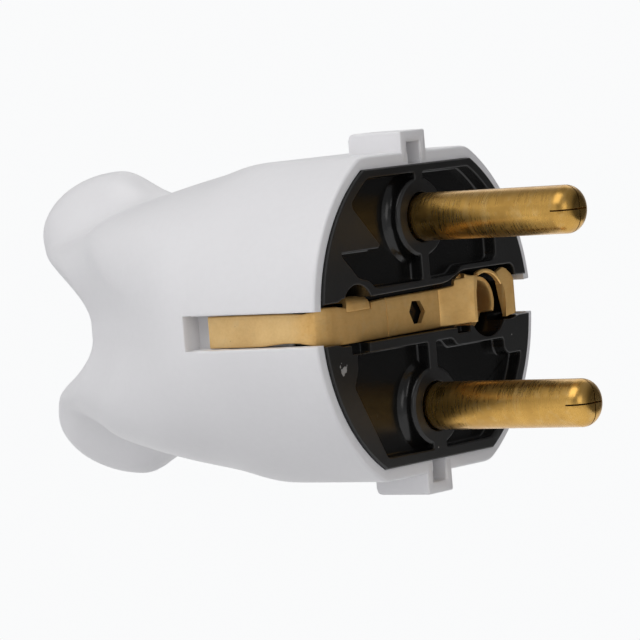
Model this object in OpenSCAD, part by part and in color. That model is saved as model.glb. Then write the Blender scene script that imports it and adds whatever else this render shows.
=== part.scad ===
// Rewireable two-pin earthed plug, type F with the type E earth hole, its grip drawn out in two ears.
// +X runs along the pins, +Z from one pin to the other, and the origin lies in the engagement face.

/* [Pins] */
// pin diameter
pin_d = 4.8; // [4:0.1:6]
// how far the pins stand out of the engagement face
pin_reach = 19; // [15:0.5:24]
// distance between the two pin axes
pin_pitch = 19; // [17:0.5:22]
// radius of the rounding round each pin's tip
tip_round = 1.6; // [0.5:0.1:2]
// wall of the rolled pin tube
pin_wall = 0.8; // [0.5:0.1:1.2]
// diameter of the pins' seats in the carrier
pin_seat_d = 4.4; // [3.8:0.1:5.8]
// length of the cross cut in the tip
slit_length = 3.6; // [2:0.1:6]
// width of the cross cut
slit_width = 0.45; // [0.3:0.05:1]

/* [Contact carrier] */
// diameter of the carrier's round front
carrier_d = 34.7; // [33:0.1:37]
// height of the carrier across its two flats
carrier_h = 29.6; // [27:0.1:32]
// thickness of the carrier's front plate
plate_t = 5; // [4:0.1:7]
// length of the carrier behind its front plate
core_length = 9; // [7:0.5:12]
// depth of the four pockets in the face
pocket_depth = 1.5; // [0.8:0.1:2.5]
// width of the raised rim round the face
rim_w = 1; // [0.6:0.1:2]
// width of the upright ribs between rim, collars and channel
rib_w = 1.3; // [0.8:0.1:2]
// outer diameter of the collar round each pin
collar_d = 7.6; // [6.5:0.1:9]
// rounding of the collars' outer edge
collar_round = 0.5; // [0.2:0.05:0.8]
// distance from the middle to the earth hole's axis
earth_offset = 10; // [9.5:0.1:11]
// diameter of the earth hole in the face
earth_hole_d = 6.8; // [6:0.1:8]
// distance from the middle to the tongue hole's axis
tongue_offset = 10.3; // [9.5:0.1:11]
// diameter of the round hole that the strip's tongue goes into
tongue_hole_d = 5.8; // [4.5:0.1:7]

/* [Earth strip] */
// thickness of the strip's sheet
strip_t = 0.8; // [0.5:0.1:1.2]
// width of the strip across the face
strip_w = 3.9; // [3:0.1:5]
// width of the strip's side legs
leg_w = 3.1; // [2.5:0.1:4]
// how far the middle of the strip lies behind the engagement face
strip_recess = 1.6; // [1:0.1:2.5]
// how far the side legs reach behind the engagement face
leg_reach = 14.9; // [10:0.1:18]
// distance across the two side legs
leg_span = 35.1; // [33:0.1:37]
// width of the hexagonal hole across its corners
hex_d = 2.7; // [2:0.1:4]
// inner diameter of the earth sleeve
sleeve_d = 4.9; // [4.5:0.05:6]
// wall of the earth sleeve
sleeve_wall = 0.6; // [0.4:0.05:0.8]
// distance from the face to the sleeve's front leaf
leaf_at = 1.1; // [0.9:0.1:2]

/* [Housing] */
// diameter of the housing's barrel
barrel_d = 37; // [35:0.1:42]
// height of the barrel across its two flats
barrel_h = 32.3; // [30:0.1:36]
// how far the carrier's face stands out of the housing
face_proud = 0.4; // [0.2:0.1:1]
// radius of the rounded front edge
front_round = 1.3; // [0.5:0.1:2]
// distance from the face to where the barrel's round sides begin to narrow
side_length = 18; // [16:0.5:20]
// how fast each side comes in behind that, per millimetre of length
side_taper = 0.56; // [0.4:0.02:0.6]
// distance from the face to where the barrel's flats begin to fall
flat_length = 12; // [10:0.5:16]
// how fast each flat falls behind that, per millimetre of length
flat_taper = 0.295; // [0.2:0.005:0.32]
// distance from the face to the middle of the grip's hollow end
tail_end = 38.2; // [36:0.2:44]
// how far the ears reach past the middle of the end
ear_back = 10.2; // [6:0.2:12]
// height across the two ears
ear_span = 32; // [28:0.2:36]
// distance from the face to the ears' highest place
ear_at = 38.8; // [36:0.2:44]
// height across the ears' rearmost places
ear_tip_span = 20.4; // [16:0.2:24]
// thickness of the ears at their rear
ear_w = 12.2; // [9:0.1:14]
// thickness of the ears where they leave the body
ear_root_w = 9; // [7:0.1:11]
// diameter of the cord's way in
cord_hole_d = 6.8; // [6:0.1:8]
// width of the slots for the strip's legs
slot_w = 3.4; // [2.8:0.1:4.5]
// distance from the face to the slots' closed ends
slot_reach = 17.3; // [15:0.1:20]
// depth of the slots below the barrel's side
slot_depth = 2.4; // [1.5:0.1:3]

/* [Key lugs] */
// width of the lugs on the flats
lug_w = 4.2; // [3:0.1:6]
// length of the lugs
lug_length = 6.5; // [4:0.1:9]
// how far the lugs stand off the flats
lug_h = 2.1; // [1:0.1:3]
// wall of the lugs round their pocket
lug_wall = 1; // [0.7:0.1:1.6]
// depth of the lugs' pocket from the front
lug_pocket_depth = 5; // [3:0.1:6]

/* [Terminals] */
// diameter of the terminal screws
screw_d = 3; // [2.5:0.1:4]
// diameter of the terminal screw heads
head_d = 5.2; // [4.5:0.1:6]
// height of the screw heads
head_h = 1.8; // [1.2:0.1:2.5]
// thickness of the terminal blocks
block_t = 4; // [3:0.1:5]
// height of the terminal blocks
block_h = 5.6; // [5:0.1:7]
// distance from a pin's axis to its terminal screw
screw_offset = 4.4; // [4:0.1:6]
// thickness of the clamping plates
clamp_t = 1; // [0.8:0.1:1.5]

/* [Cord grip] */
// length of the clamp bar across the cord
bar_length = 13; // [11:0.1:15]
// width of the clamp bar along the cord
bar_w = 4.4; // [3:0.1:6]
// thickness of the clamp bar
bar_t = 2.6; // [2:0.1:4]
// distance between the clamp bar's screws
bar_pitch = 9.6; // [8:0.1:11]
// diameter of the clamp bar's screws
bar_screw_d = 2.5; // [2:0.1:3]
// distance from the face to the clamp bar
bar_at = 29; // [26:0.5:32]

/* [Fits] */
// gap left between pieces that slide into each other
fit = 0.05; // [0.02:0.01:0.15]
// roundness of the drawn circles
$fn = 96; // [48:8:160]

/* [Hidden] */
eps = 0.01;
big = 100;
pin_r = pin_d / 2;
pin_z = pin_pitch / 2;
carrier_r = carrier_d / 2;
carrier_z = carrier_h / 2;
core_r = carrier_r - 2.1;
core_z = carrier_z - 1.3;
core_end = plate_t + core_length;
barrel_r = barrel_d / 2;
barrel_z = barrel_h / 2;
core_y = barrel_r - slot_depth - 1.6;
channel_x = strip_recess + strip_t + fit;
sleeve_r = sleeve_d / 2;
sleeve_out = sleeve_r + sleeve_wall;
sleeve_at = leaf_at + 1.9;
sleeve_end = core_end - 2.1;
flange_r = block_h / 2;
flange_t = 1.2;
block_x = plate_t + flange_t + fit;
clamp_x = block_x + block_t;
head_x = clamp_x + clamp_t;
block_end_y = screw_offset + head_d / 2;
block_near_y = pin_r + 0.4;
leg_y = leg_span / 2;
closing_x = plate_t + 1;
tongue_z = strip_w / 2 - 0.05;
boss_x = core_end + 0.3;
boss_end = boss_x + 8;
post_z = cord_hole_d / 2 + 0.1;

white = [0.87, 0.87, 0.9];
black = [0.07, 0.07, 0.07];
brass = [0.72, 0.55, 0.25];
pale_brass = [0.76, 0.64, 0.38];
steel = [0.7, 0.7, 0.72];

// A smooth step from 0 to 1.
function ease(t) = let (c = min(1, max(0, t))) c * c * (3 - 2 * c);

// Solids that run backwards along X, from x_front to x_back behind the face.
module along(x_front, x_back) {
    translate([-x_back, 0, 0])
        rotate([90, 0, 90])
            linear_extrude(height = x_back - x_front)
                children();
}

// A round rod or bore along X.
module rod(r, x_front, x_back, y = 0, z = 0) {
    translate([-x_back, y, z])
        rotate([0, 90, 0])
            cylinder(r = r, h = x_back - x_front);
}

// A box given by its limits behind the face, across and up.
module block(x_front, x_back, y0, y1, z0, z1) {
    translate([-x_back, y0, z0])
        cube([x_back - x_front, y1 - y0, z1 - z0]);
}

// A round drum along X with flats above and below.
module drum(r, half_h, x_front, x_back) {
    intersection() {
        rod(r, x_front, x_back);
        block(x_front - 1, x_back + 1, -big, big, -half_h, half_h);
    }
}

// HOUSING
// The outer skin is lofted through rings. Each ring stands at u behind the face in the middle and
// bows further back towards the ears.
loft_points = 64;
loft_steps = 26;
side_bend = 4;
flat_bend = 9;
bow_from = 14;
ear_root_at = 29.5;
end_round = 3.4;
corner_points = 11;

// How far the ring at u bows back, for a height given as a share of the ring's own.
function bow(u, share) =
    ear_back * ease((u - bow_from) / (tail_end - bow_from)) * ease((share - 0.05) / 0.85);

// Half thickness of the body at u: straight, then a bend, then an even taper.
function side_y(u) =
    barrel_r - side_taper * (norm([max(0, u - side_length), side_bend]) - side_bend);

// Half height of the body at u, without the ears.
function flat_z(u) =
    barrel_z - flat_taper * (norm([max(0, u + bow(u, 0.7) - flat_length), flat_bend]) - flat_bend);

// Half height at u with the ears: they rise from the body and close in a quarter of an ellipse.
function top_z(u) =
    let (x = u + bow(u, 1), body = flat_z(u), top = ear_span / 2, tip = ear_tip_span / 2)
    let (t = (x - ear_at) / (tail_end + ear_back - ear_at))
    x < ear_at
        ? body + (top - body) * ease((x - ear_root_at) / (ear_at - ear_root_at))
        : tip + (top - tip) * sqrt(max(0, 1 - t * t));

// Distance from the middle to a rounded rectangle's edge, in the direction [c, s].
function reach(c, s, half_y, half_z, n) =
    1 / pow(pow(abs(c) / half_y, n) + pow(abs(s) / half_z, n), 1 / n);

// The directions of a ring's points. One lies on each corner between a round side and a flat.
quarter_points = loft_points / 4;
corner_angle = asin(barrel_h / barrel_d);
quarter_angles = [for (i = [0 : quarter_points - 1])
    i < corner_points
        ? corner_angle * i / corner_points
        : corner_angle + (90 - corner_angle) * (i - corner_points) / (quarter_points - corner_points)];
back_angles = [for (i = [quarter_points - 1 : -1 : 1]) 180 - quarter_angles[i]];
half_angles = concat(quarter_angles, [90], back_angles);
ring_angles = concat(half_angles, [for (a = half_angles) 180 + a]);

// The body's outline at u in the direction [c, s]: a circle cut by flats at the front, which turns
// into a rounded rectangle at the grip.
function body_point(u, c, s) =
    let (w = ease((u - 10) / 18), half_z = flat_z(u))
    let (round_z = barrel_r * (1 - w) + half_z * w, edge_z = half_z * (1 + 0.25 * w), k = 100 - 84 * w)
    let (n = 2 + 1.4 * w, r = reach(c, s, side_y(u), round_z, n))
    let (top = round_z / pow(1 + pow(round_z / edge_z, k), 1 / k))
    let (cut = r / pow(1 + pow(r * abs(s) / edge_z, k), 1 / k))
    [cut * c, cut * s * half_z / top];

// One ring: the body's outline joined softly to the ears' outline.
function ring(u, inset) =
    let (k = 9, body_z = flat_z(u), all_z = top_z(u))
    let (rise = pow(max(1e-9, pow(all_z, k) - pow(body_z, k)), 1 / k))
    let (widen = ease((u - ear_root_at) / (tail_end - ear_root_at)))
    let (thick = ear_root_w / 2 + (ear_w - ear_root_w) / 2 * widen)
    let (t = max(0, (u - tail_end + end_round) / end_round))
    let (cap = 0.45 + 0.55 * sqrt(max(0, 1 - t * t)))
    [for (a = ring_angles)
        let (b = body_point(u, cos(a), sin(a)), rb = norm(b), c = b[0] / rb, s = b[1] / rb)
        let (r = pow(pow(rb, k) + pow(reach(c, s, thick, rise, 2.3), k), 1 / k) - inset)
        [-(u + bow(u, min(1, abs(r * s) / all_z))), r * c * cap, r * s]];

module skin() {
    fronts = [for (a = [0 : 30 : 90]) [face_proud + front_round * (1 - sin(a)), front_round * (1 - cos(a))]];
    first = face_proud + front_round;
    body = [for (i = [1 : loft_steps])
        first + (tail_end - first) * (1 - pow(1 - i / loft_steps, 1.3))];
    rings = concat([for (i = [3 : -1 : 0]) ring(fronts[i][0], fronts[i][1])], [for (u = body) ring(u, 0)]);
    n = loft_points;
    last = len(rings) - 1;
    points = [for (r = rings) each r];
    sides = [for (k = [0 : last - 1]) for (i = [0 : n - 1])
        let (j = (i + 1) % n)
        each [[k * n + i, (k + 1) * n + j, (k + 1) * n + i], [k * n + i, k * n + j, (k + 1) * n + j]]];
    front_cap = [for (i = [0 : n - 1]) n - 1 - i];
    // The end is a ribbon between each point and its mirror image across the grip.
    end_cap = [for (i = [-n / 4 : n / 4 - 1])
        let (a = (i + n) % n, b = (i + 1 + n) % n, c = (n / 2 - i - 1 + n) % n, d = (n / 2 - i + n) % n)
        each concat(a == d ? [] : [[last * n + a, last * n + b, last * n + d]],
            b == c ? [] : [[last * n + b, last * n + c, last * n + d]])];
    polyhedron(points = points, faces = concat([front_cap], sides, end_cap), convexity = 6);
}

// The key lugs on the flats, each with a pocket that opens to the front.
module lug() {
    top = barrel_z + lug_h;
    intersection() {
        block(face_proud, face_proud + lug_length, -lug_w / 2, lug_w / 2, carrier_z + 0.4, top);
        union() {
            block(face_proud - 1, face_proud + lug_length - 0.7, -big, big, 0, top);
            block(face_proud - 1, face_proud + lug_length + 1, -big, big, 0, top - 0.7);
            translate([-(face_proud + lug_length - 0.7), 0, top - 0.7])
                rotate([90, 0, 0])
                    cylinder(r = 0.7, h = big, center = true);
        }
    }
}

module lug_pocket() {
    block(-1, face_proud + lug_pocket_depth, -lug_w / 2 + lug_wall, lug_w / 2 - lug_wall,
        carrier_z - 0.2, barrel_z + lug_h - lug_wall - 0.15);
}

// The slots in the barrel's sides, open to the front, in which the strip's legs lie.
module slots() {
    for (side = [0, 1])
        mirror([0, side, 0])
            block(-1, slot_reach, barrel_r - slot_depth, big, -slot_w / 2, slot_w / 2);
}

// The hollow inside: the carrier's seat, the wiring room, the cord grip's room and the cord's way in.
module hollow() {
    seat = plate_t + fit;
    room_r = core_r + 0.4;
    drum(carrier_r + fit, carrier_z + fit, -1, plate_t);
    intersection() {
        drum(room_r, core_z + 0.3, plate_t - eps, 20);
        block(0, 21, -core_y - 0.4, core_y + 0.4, -big, big);
    }
    intersection() {
        translate([-20 + eps, 0, 0])
            rotate([0, -90, 0])
                cylinder(r1 = core_z + 0.3, r2 = cord_hole_d / 2, h = bar_at + 3.2 - 20);
        block(0, big, -big, big, -core_z, core_z);
    }
    block(bar_at - 3.4, bar_at + 3.4, -bar_length / 2 - 0.5, bar_length / 2 + 0.5, -8.6, 9);
    rod(cord_hole_d / 2, 20, tail_end + ear_back + 1);
}

// The bridge across the wiring room, which takes the closing screw.
module bridge() {
    intersection() {
        union() {
            block(boss_x, boss_x + 4.5, -barrel_r, barrel_r, -1.2, 1.2);
            rod(3.4, boss_x, boss_end);
        }
        rod(core_r + 0.8, 0, 30);
    }
}

// The two posts that the clamp bar is screwed down on.
module posts() {
    for (side = [-1, 1])
        block(bar_at - bar_w / 2, bar_at + bar_w / 2, side * bar_pitch / 2 - 1.95, side * bar_pitch / 2 + 1.95,
            -9.4, post_z);
}

module housing() {
    color(white)
        difference() {
            union() {
                difference() {
                    union() {
                        skin();
                        lug();
                        mirror([0, 0, 1])
                            lug();
                    }
                    hollow();
                    slots();
                    lug_pocket();
                    mirror([0, 0, 1])
                        lug_pocket();
                }
                bridge();
                posts();
            }
            rod(screw_d / 2 + fit, 0, boss_end + 2);
            rod(cord_hole_d / 2 + 0.4, bar_at - bar_w, bar_at + bar_w / 2 + 0.5);
            for (side = [-1, 1])
                translate([-bar_at, side * bar_pitch / 2, -4])
                    cylinder(r = bar_screw_d / 2 + fit, h = 12);
        }
}

// CONTACT CARRIER
// An outline in the face plane is given as [across, up].
// The quarter of the face inside the rim, as a pie of the rim's inner circle cut by its flat.
module rim_inside(side, updown) {
    intersection() {
        circle(r = carrier_r - rim_w);
        translate([side > 0 ? 0 : -big, updown > 0 ? 0 : -carrier_z + rim_w * 1.25])
            square([big, updown > 0 ? carrier_z - rim_w * 0.8 : carrier_z - rim_w * 1.25]);
    }
}

// The four pockets' outlines, each bounded by the rim, the upright rib and the ground left standing
// round the holes.
module pockets() {
    half_rib = rib_w / 2;
    wall_z = strip_w / 2 + 1.1;
    difference() {
        union() {
            rim_inside(-1, 1);
            rim_inside(1, 1);
            rim_inside(-1, -1);
            rim_inside(1, -1);
        }
        translate([-half_rib, -big / 2])
            square([rib_w, big]);
        for (z = [-pin_z, pin_z])
            translate([0, z])
                circle(d = collar_d);
        // the channel's own walls
        translate([-big / 2, -wall_z])
            square([big, 2 * wall_z]);
        // the ground round the near hole and along the near rim
        translate([-tongue_offset, 0.8])
            circle(d = tongue_hole_d + 1.7);
        polygon([[-carrier_r, 11.4], [-11.5, 11.4], [-7.3, 7.5], [-7.9, 4.4], [-12.5, 3], [-carrier_r, 3]]);
        polygon([[-carrier_r, -3], [-12.5, -3], [-12.5, -4.6], [-13.3, -6.2], [-8.9, -13.4], [-carrier_r, -13.4]]);
        // the ground round the earth hole and along the far rim
        translate([earth_offset, 0])
            circle(d = earth_hole_d + 2);
        polygon([[5.4, 0], [5.4, 4.1], [12, 4.1], [12, 8.2], [13.4, 9.6], [carrier_r, 9.6], [carrier_r, 0]]);
        polygon([[3.5, 0], [3.5, -3.8], [12.4, -3.8], [12.4, -5], [13, -5.6], [carrier_r, -5.6], [carrier_r, 0]]);
    }
}

// The outline of the strip seen from the front. On the far side it rises in steps to the earth hole,
// which cuts it through, and goes on beyond the hole as a plate with a rounded upper corner.
module strip_outline() {
    w = strip_w / 2;
    leg = leg_w / 2;
    end_y = leg_y - leg_w / 2;
    near_y = earth_offset - 1.4;
    far_y = earth_offset + earth_hole_d / 2 - 0.1;
    polygon([
        [-leg_y, -leg], [-end_y + 0.3, -leg], [-end_y + 1.4, -w], [near_y - 0.4, -w],
        [near_y, -w + 0.4], [near_y, w + 1.1], [near_y - 1.3, w + 1], [near_y - 1.7, w + 1.25],
        [near_y - 1.75, w + 0.9], [near_y - 2.9, w + 0.75], [near_y - 3.1, w + 0.55],
        [near_y - 2.9, w + 0.1], [near_y - 4.5, w], [-tongue_offset + 2, w], [-tongue_offset + 1.6, w + 0.5],
        [-tongue_offset - 1.9, w + 0.5], [-tongue_offset - 2.2, w - 0.2], [-end_y + 1.4, w],
        [-end_y + 0.3, leg], [-leg_y, leg]
    ]);
    difference() {
        polygon([
            [far_y - 1.4, 0.2], [far_y - 0.1, -w], [end_y - 0.6, -w], [end_y + 0.3, -leg], [leg_y, -leg],
            [leg_y, leg], [end_y + 0.3, leg + 0.1], [end_y - 0.85, w + 0.35], [end_y - 1.5, w + 1],
            [end_y - 2.3, w + 1.35], [far_y - 1.1, w + 1.35], [far_y - 1.4, w + 1]
        ]);
        translate([far_y - 4, -big])
            square([4, big]);
    }
}

// The channel in the carrier's face that the strip lies in.
module channel_outline() {
    w = strip_w / 2 + 0.15;
    leg = leg_w / 2 + 0.15;
    end_y = leg_y - leg_w / 2;
    step_y = earth_offset - 4.7;
    polygon([
        [-big, -leg], [-end_y + 0.3, -leg], [-end_y + 1.4, -w], [end_y - 0.5, -w], [end_y + 0.3, -leg - 0.1],
        [big, -leg - 0.1], [big, leg + 0.5], [end_y - 0.1, leg + 0.5], [end_y - 0.4, w + 1],
        [end_y - 1.5, w + 1.6], [step_y + 1.4, w + 1.5], [step_y + 1.3, w + 0.9], [step_y, w + 0.8],
        [step_y, w], [-tongue_offset + 2.1, w], [-tongue_offset + 1.7, w + 0.5],
        [-tongue_offset - 2, w + 0.5], [-tongue_offset - 2.3, w], [-end_y + 1.4, w],
        [-end_y + 0.3, leg], [-big, leg]
    ]);
}

// A pin's way through the carrier, with the terminal's room behind it, drawn for the upper pin.
module terminal_room() {
    rod(pin_r + 2 * fit, -1, 0.6, 0, pin_z);
    rod(pin_seat_d / 2 + fit, -1, plate_t + 1, 0, pin_z);
    block(plate_t, core_end + 1, -block_near_y - 0.1, block_end_y + 0.1,
        pin_z - block_h / 2 - 0.1, pin_z + block_h / 2 + 0.1);
}

module contact_carrier() {
    color(black)
        difference() {
            union() {
                drum(carrier_r, carrier_z, 0, plate_t);
                intersection() {
                    drum(core_r, core_z, plate_t - eps, core_end);
                    block(0, big, -core_y, core_y, -big, big);
                }
            }
            along(-1, pocket_depth)
                pockets();
            along(-1, channel_x)
                channel_outline();
            // the strip's legs turn back round the plate's edge here
            for (side = [0, 1])
                mirror([0, side, 0])
                    block(-1, core_end + 1, leg_y - strip_t - 0.9, big, -slot_w / 2 - 0.1, slot_w / 2 + 0.1);
            for (side = [0, 1])
                mirror([0, 0, side])
                    collar_edge();
            rod(earth_hole_d / 2, -1, sleeve_at - 0.4, earth_offset);
            rod(sleeve_out + fit, -1, sleeve_end + fit, earth_offset);
            rod(sleeve_r, sleeve_end, core_end + 1, earth_offset);
            rod(tongue_hole_d / 2, -1, plate_t + 1, -tongue_offset, 0.8);
            terminal_room();
            rotate([180, 0, 0])
                terminal_room();
            earth_room();
            // the closing screw's head room and way through
            rod(head_d / 2 + 0.15, 0, closing_x);
            rod(screw_d / 2 + 0.1, 0, core_end + 1);
            // small moulding recesses beside the channel
            block(-1, 3.4, -12.7, -10.1, -3.7, -1.8);
            block(-1, 3.4, 7.3, 9.3, -3, -1.8);
        }
}

// What is taken off the upper collar's outer edge to round it.
module collar_edge() {
    r = collar_d / 2;
    intersection() {
        translate([0, 0, pin_z])
            rotate([0, 90, 0])
                rotate_extrude()
                    difference() {
                        translate([r - collar_round, -collar_round])
                            square([collar_round + 0.2, collar_round + 1]);
                        translate([r - collar_round, -collar_round])
                            circle(r = collar_round);
                    }
        along(-1, pocket_depth)
            pockets();
    }
}

// The earth terminal's room, open to the back.
module earth_room() {
    block(plate_t, core_end + 1, -tongue_offset - head_d / 2 - 0.5, -tongue_offset + head_d / 2 + 0.5,
        -head_d / 2 - 0.8, strip_w / 2 + strip_t + 0.5);
}

// PINS
// A rolled tube with a rounded and cross-cut tip, a flange behind the plate and a spigot at the back.
module pin() {
    spigot_r = pin_r - pin_wall;
    translate([0, 0, pin_z])
        difference() {
            union() {
                rod(pin_r, -pin_reach + tip_round, -0.3);
                rod(pin_seat_d / 2, -0.3 - eps, plate_t + eps);
                rotate([0, 90, 0])
                    rotate_extrude()
                        intersection() {
                            union() {
                                translate([0, pin_reach - tip_round - 1])
                                    square([pin_r, 1]);
                                translate([0, pin_reach - tip_round - eps])
                                    square([pin_r - tip_round, tip_round + eps]);
                                translate([pin_r - tip_round, pin_reach - tip_round])
                                    circle(r = tip_round);
                            }
                            square([big, big]);
                        }
                rod(flange_r, plate_t, plate_t + flange_t);
                rod(spigot_r, plate_t + flange_t - eps, block_x + block_t - 0.6);
            }
            rod(pin_r - pin_wall, -pin_reach + slit_length + 1, plate_t - 1.5);
            block(-pin_reach - 1, -pin_reach + slit_length, -slit_width / 2, slit_width / 2, -pin_r - 1, pin_r + 1);
            block(-pin_reach - 1, -pin_reach + slit_length, -pin_r - 1, pin_r + 1, -slit_width / 2, slit_width / 2);
        }
}

module pin_upper() {
    color(brass)
        pin();
}

module pin_lower() {
    color(brass)
        rotate([180, 0, 0])
            pin();
}

// EARTH STRIP
// The sheet's front surface seen from above, as [x, y] points from the middle outwards: it rises towards
// the rim, turns back round the carrier's edge and bows outwards along the housing's side.
leg_path = [[-9, leg_y], [-leg_reach + 1, leg_y - 0.15], [-leg_reach, leg_y - 0.5]];
near_rise = 0.6;
near_half = concat([
    [-strip_recess, 5.1], [-strip_recess + near_rise - 0.1, 9], [-strip_recess + near_rise, 13],
    [-strip_recess + near_rise, leg_y - 2.2], [-strip_recess + near_rise - 0.25, leg_y - 1.2],
    [-strip_recess + near_rise - 0.9, leg_y - 0.5], [-strip_recess - 1.4, leg_y - 0.15]], leg_path);
far_half = concat([
    [-strip_recess, 3.9], [-0.05, earth_offset - 1.9], [-0.15, leg_y - 5], [-0.3, leg_y - 2.6],
    [-0.65, leg_y - 2], [-1.3, leg_y - 1.25], [-2.3, leg_y - 0.55], [-3.5, leg_y - 0.15]], leg_path);
sheet_path = concat([for (i = [len(near_half) - 1 : -1 : 0]) [near_half[i][0], -near_half[i][1]]], far_half);

// The path's direction at point i, and the same path moved back by t along its normals.
function unit(v) = v / norm(v);
function path_dir(p, i) =
    i == 0 ? unit(p[1] - p[0])
    : i == len(p) - 1 ? unit(p[i] - p[i - 1])
    : unit(unit(p[i + 1] - p[i]) + unit(p[i] - p[i - 1]));
function back_path(p, t) =
    [for (i = [0 : len(p) - 1]) let (d = path_dir(p, i)) p[i] + t * [-d[1], d[0]]];

module sheet_band() {
    back = back_path(sheet_path, strip_t);
    polygon(concat(sheet_path, [for (i = [len(back) - 1 : -1 : 0]) back[i]]));
}

// The lip over the top of the earth hole, which joins the strip's near part to its far plate.
module hole_lip() {
    outer = earth_hole_d / 2;
    difference() {
        rod(outer, 0.05, 0.85, earth_offset);
        rod(outer - 0.6, 0, 1, earth_offset);
        block(0, 1, 0, big, -big, 1.75);
        block(0, 1, 0, earth_offset - 1.6, -big, big);
    }
}

module earth_strip() {
    color(pale_brass)
        union() {
            difference() {
                intersection() {
                    translate([0, 0, -big / 2])
                        linear_extrude(height = big)
                            sheet_band();
                    along(-1, 20)
                        strip_outline();
                }
                rod(sleeve_r, -1, 4, earth_offset);
                intersection() {
                    rod(earth_hole_d / 2 - 0.1, -1, 4, earth_offset);
                    block(-1, 4, earth_offset - 1.5, big, -big, big);
                }
                translate([-5, 0, 0])
                    rotate([90, 0, 90])
                        linear_extrude(height = 6)
                            circle(d = hex_d, $fn = 6);
            }
            hole_lip();
            // the tongue turns back into the round hole and ends at the earth terminal
            block(strip_recess + 0.3, block_x + 2.6, -tongue_offset - 1.7, -tongue_offset + 1.7,
                tongue_z, tongue_z + strip_t);
        }
}

// The spring sleeve in the earth hole, slit along its length, with a leaf that reaches forwards.
module earth_socket_sleeve() {
    color(brass)
        difference() {
            rod(sleeve_out, leaf_at, sleeve_end, earth_offset);
            rod(sleeve_r, 0, core_end, earth_offset);
            block(0, core_end, earth_offset - 0.4, earth_offset + 0.4, -sleeve_out - 1, 0);
            block(0, sleeve_at, 0, earth_offset - 0.2, -big, big);
            block(0, sleeve_at, 0, big, -big, -1.3);
        }
}

// TERMINALS
// A brass block on the pin's spigot, drawn for the upper pin, with a tapped hole beside it.
module terminal_block() {
    difference() {
        block(block_x, block_x + block_t, -block_near_y, block_end_y, pin_z - block_h / 2, pin_z + block_h / 2);
        rod(pin_r - pin_wall + fit, 0, big, 0, pin_z);
        rod(screw_d / 2 + fit, 0, big, screw_offset, pin_z);
    }
}

// A clamping plate with its hole.
module clamp_plate() {
    half = head_d / 2 - 0.4;
    difference() {
        block(clamp_x + fit / 2, head_x, -head_d / 2, head_d / 2, -half, half);
        rod(screw_d / 2 + 0.1, 0, big);
    }
}

// A cheese-head screw with a slot across its head.
module screw(head_front) {
    difference() {
        union() {
            rod(screw_d / 2, block_x + 0.5, head_front + eps);
            rod(head_d / 2 - 0.1, head_front, head_front + head_h);
        }
        block(head_front + head_h / 2, head_front + head_h + 1, -big, big, -0.4, 0.4);
    }
}

module at_terminal(side) {
    rotate([side > 0 ? 0 : 180, 0, 0])
        translate([0, screw_offset, pin_z])
            children();
}

module at_earth() {
    translate([0, -tongue_offset, -0.6])
        children();
}

module terminal_block_upper() {
    color(brass)
        terminal_block();
}

module terminal_block_lower() {
    color(brass)
        rotate([180, 0, 0])
            terminal_block();
}

// The earth block lies under the strip's tongue, which rests on its top.
module terminal_block_earth() {
    half = head_d / 2 + 0.4;
    color(brass)
        difference() {
            block(block_x, block_x + block_t, -tongue_offset - half, -tongue_offset + half,
                -block_h / 2, tongue_z - fit);
            at_earth()
                rod(screw_d / 2 + fit, 0, big);
        }
}

module clamp_plate_upper() {
    color(brass)
        at_terminal(1)
            clamp_plate();
}

module clamp_plate_lower() {
    color(brass)
        at_terminal(-1)
            clamp_plate();
}

module clamp_plate_earth() {
    color(brass)
        at_earth()
            clamp_plate();
}

module terminal_screw_upper() {
    color(steel)
        at_terminal(1)
            screw(head_x);
}

module terminal_screw_lower() {
    color(steel)
        at_terminal(-1)
            screw(head_x);
}

module terminal_screw_earth() {
    color(steel)
        at_earth()
            screw(head_x);
}

// The long screw behind the hexagonal hole, which holds the carrier in the housing.
module closing_screw() {
    color(steel)
        difference() {
            union() {
                rod(screw_d / 2, closing_x - eps, boss_end - 0.5);
                rod(head_d / 2, closing_x - head_h - 0.6, closing_x);
            }
            rod(hex_d / 2, 0, closing_x - head_h / 2);
        }
}

// CORD GRIP
module cord_clamp_bar() {
    half = bar_length / 2;
    color(black)
        difference() {
            block(bar_at - bar_w / 2, bar_at + bar_w / 2, -half, half, post_z, post_z + bar_t);
            for (side = [-1, 1])
                translate([-bar_at, side * bar_pitch / 2, 0])
                    cylinder(r = bar_screw_d / 2 + 0.1, h = 12);
            rod(2.6, 0, big, 0, post_z - 1.3);
        }
}

module cord_screw(side) {
    color(steel)
        translate([-bar_at, side * bar_pitch / 2, 0])
            difference() {
                union() {
                    translate([0, 0, -3.5])
                        cylinder(r = bar_screw_d / 2, h = post_z + bar_t + 3.5 + eps);
                    translate([0, 0, post_z + bar_t])
                        cylinder(r = bar_screw_d / 2 + 0.8, h = 1.2);
                }
                translate([-big / 2, -0.3, post_z + bar_t + 0.6])
                    cube([big, 0.6, 2]);
            }
}

module cord_screw_near() {
    cord_screw(-1);
}

module cord_screw_far() {
    cord_screw(1);
}

housing();
contact_carrier();
pin_upper();
pin_lower();
earth_strip();
earth_socket_sleeve();
terminal_block_upper();
terminal_block_lower();
terminal_block_earth();
clamp_plate_upper();
clamp_plate_lower();
clamp_plate_earth();
terminal_screw_upper();
terminal_screw_lower();
terminal_screw_earth();
closing_screw();
cord_clamp_bar();
cord_screw_near();
cord_screw_far();
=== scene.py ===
"""Looks of a rewireable two-pin earthed plug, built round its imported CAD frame.

Lengths in the classes are in millimetres, as on the drawing of the part, and x runs from the face
of the plug towards the tips of its pins, z from the lower pin to the upper one.
"""

import logging
import math
from dataclasses import dataclass, field
from enum import Enum
from typing import Callable

import bmesh
import bpy
import numpy as np
from mathutils import Matrix


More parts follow.
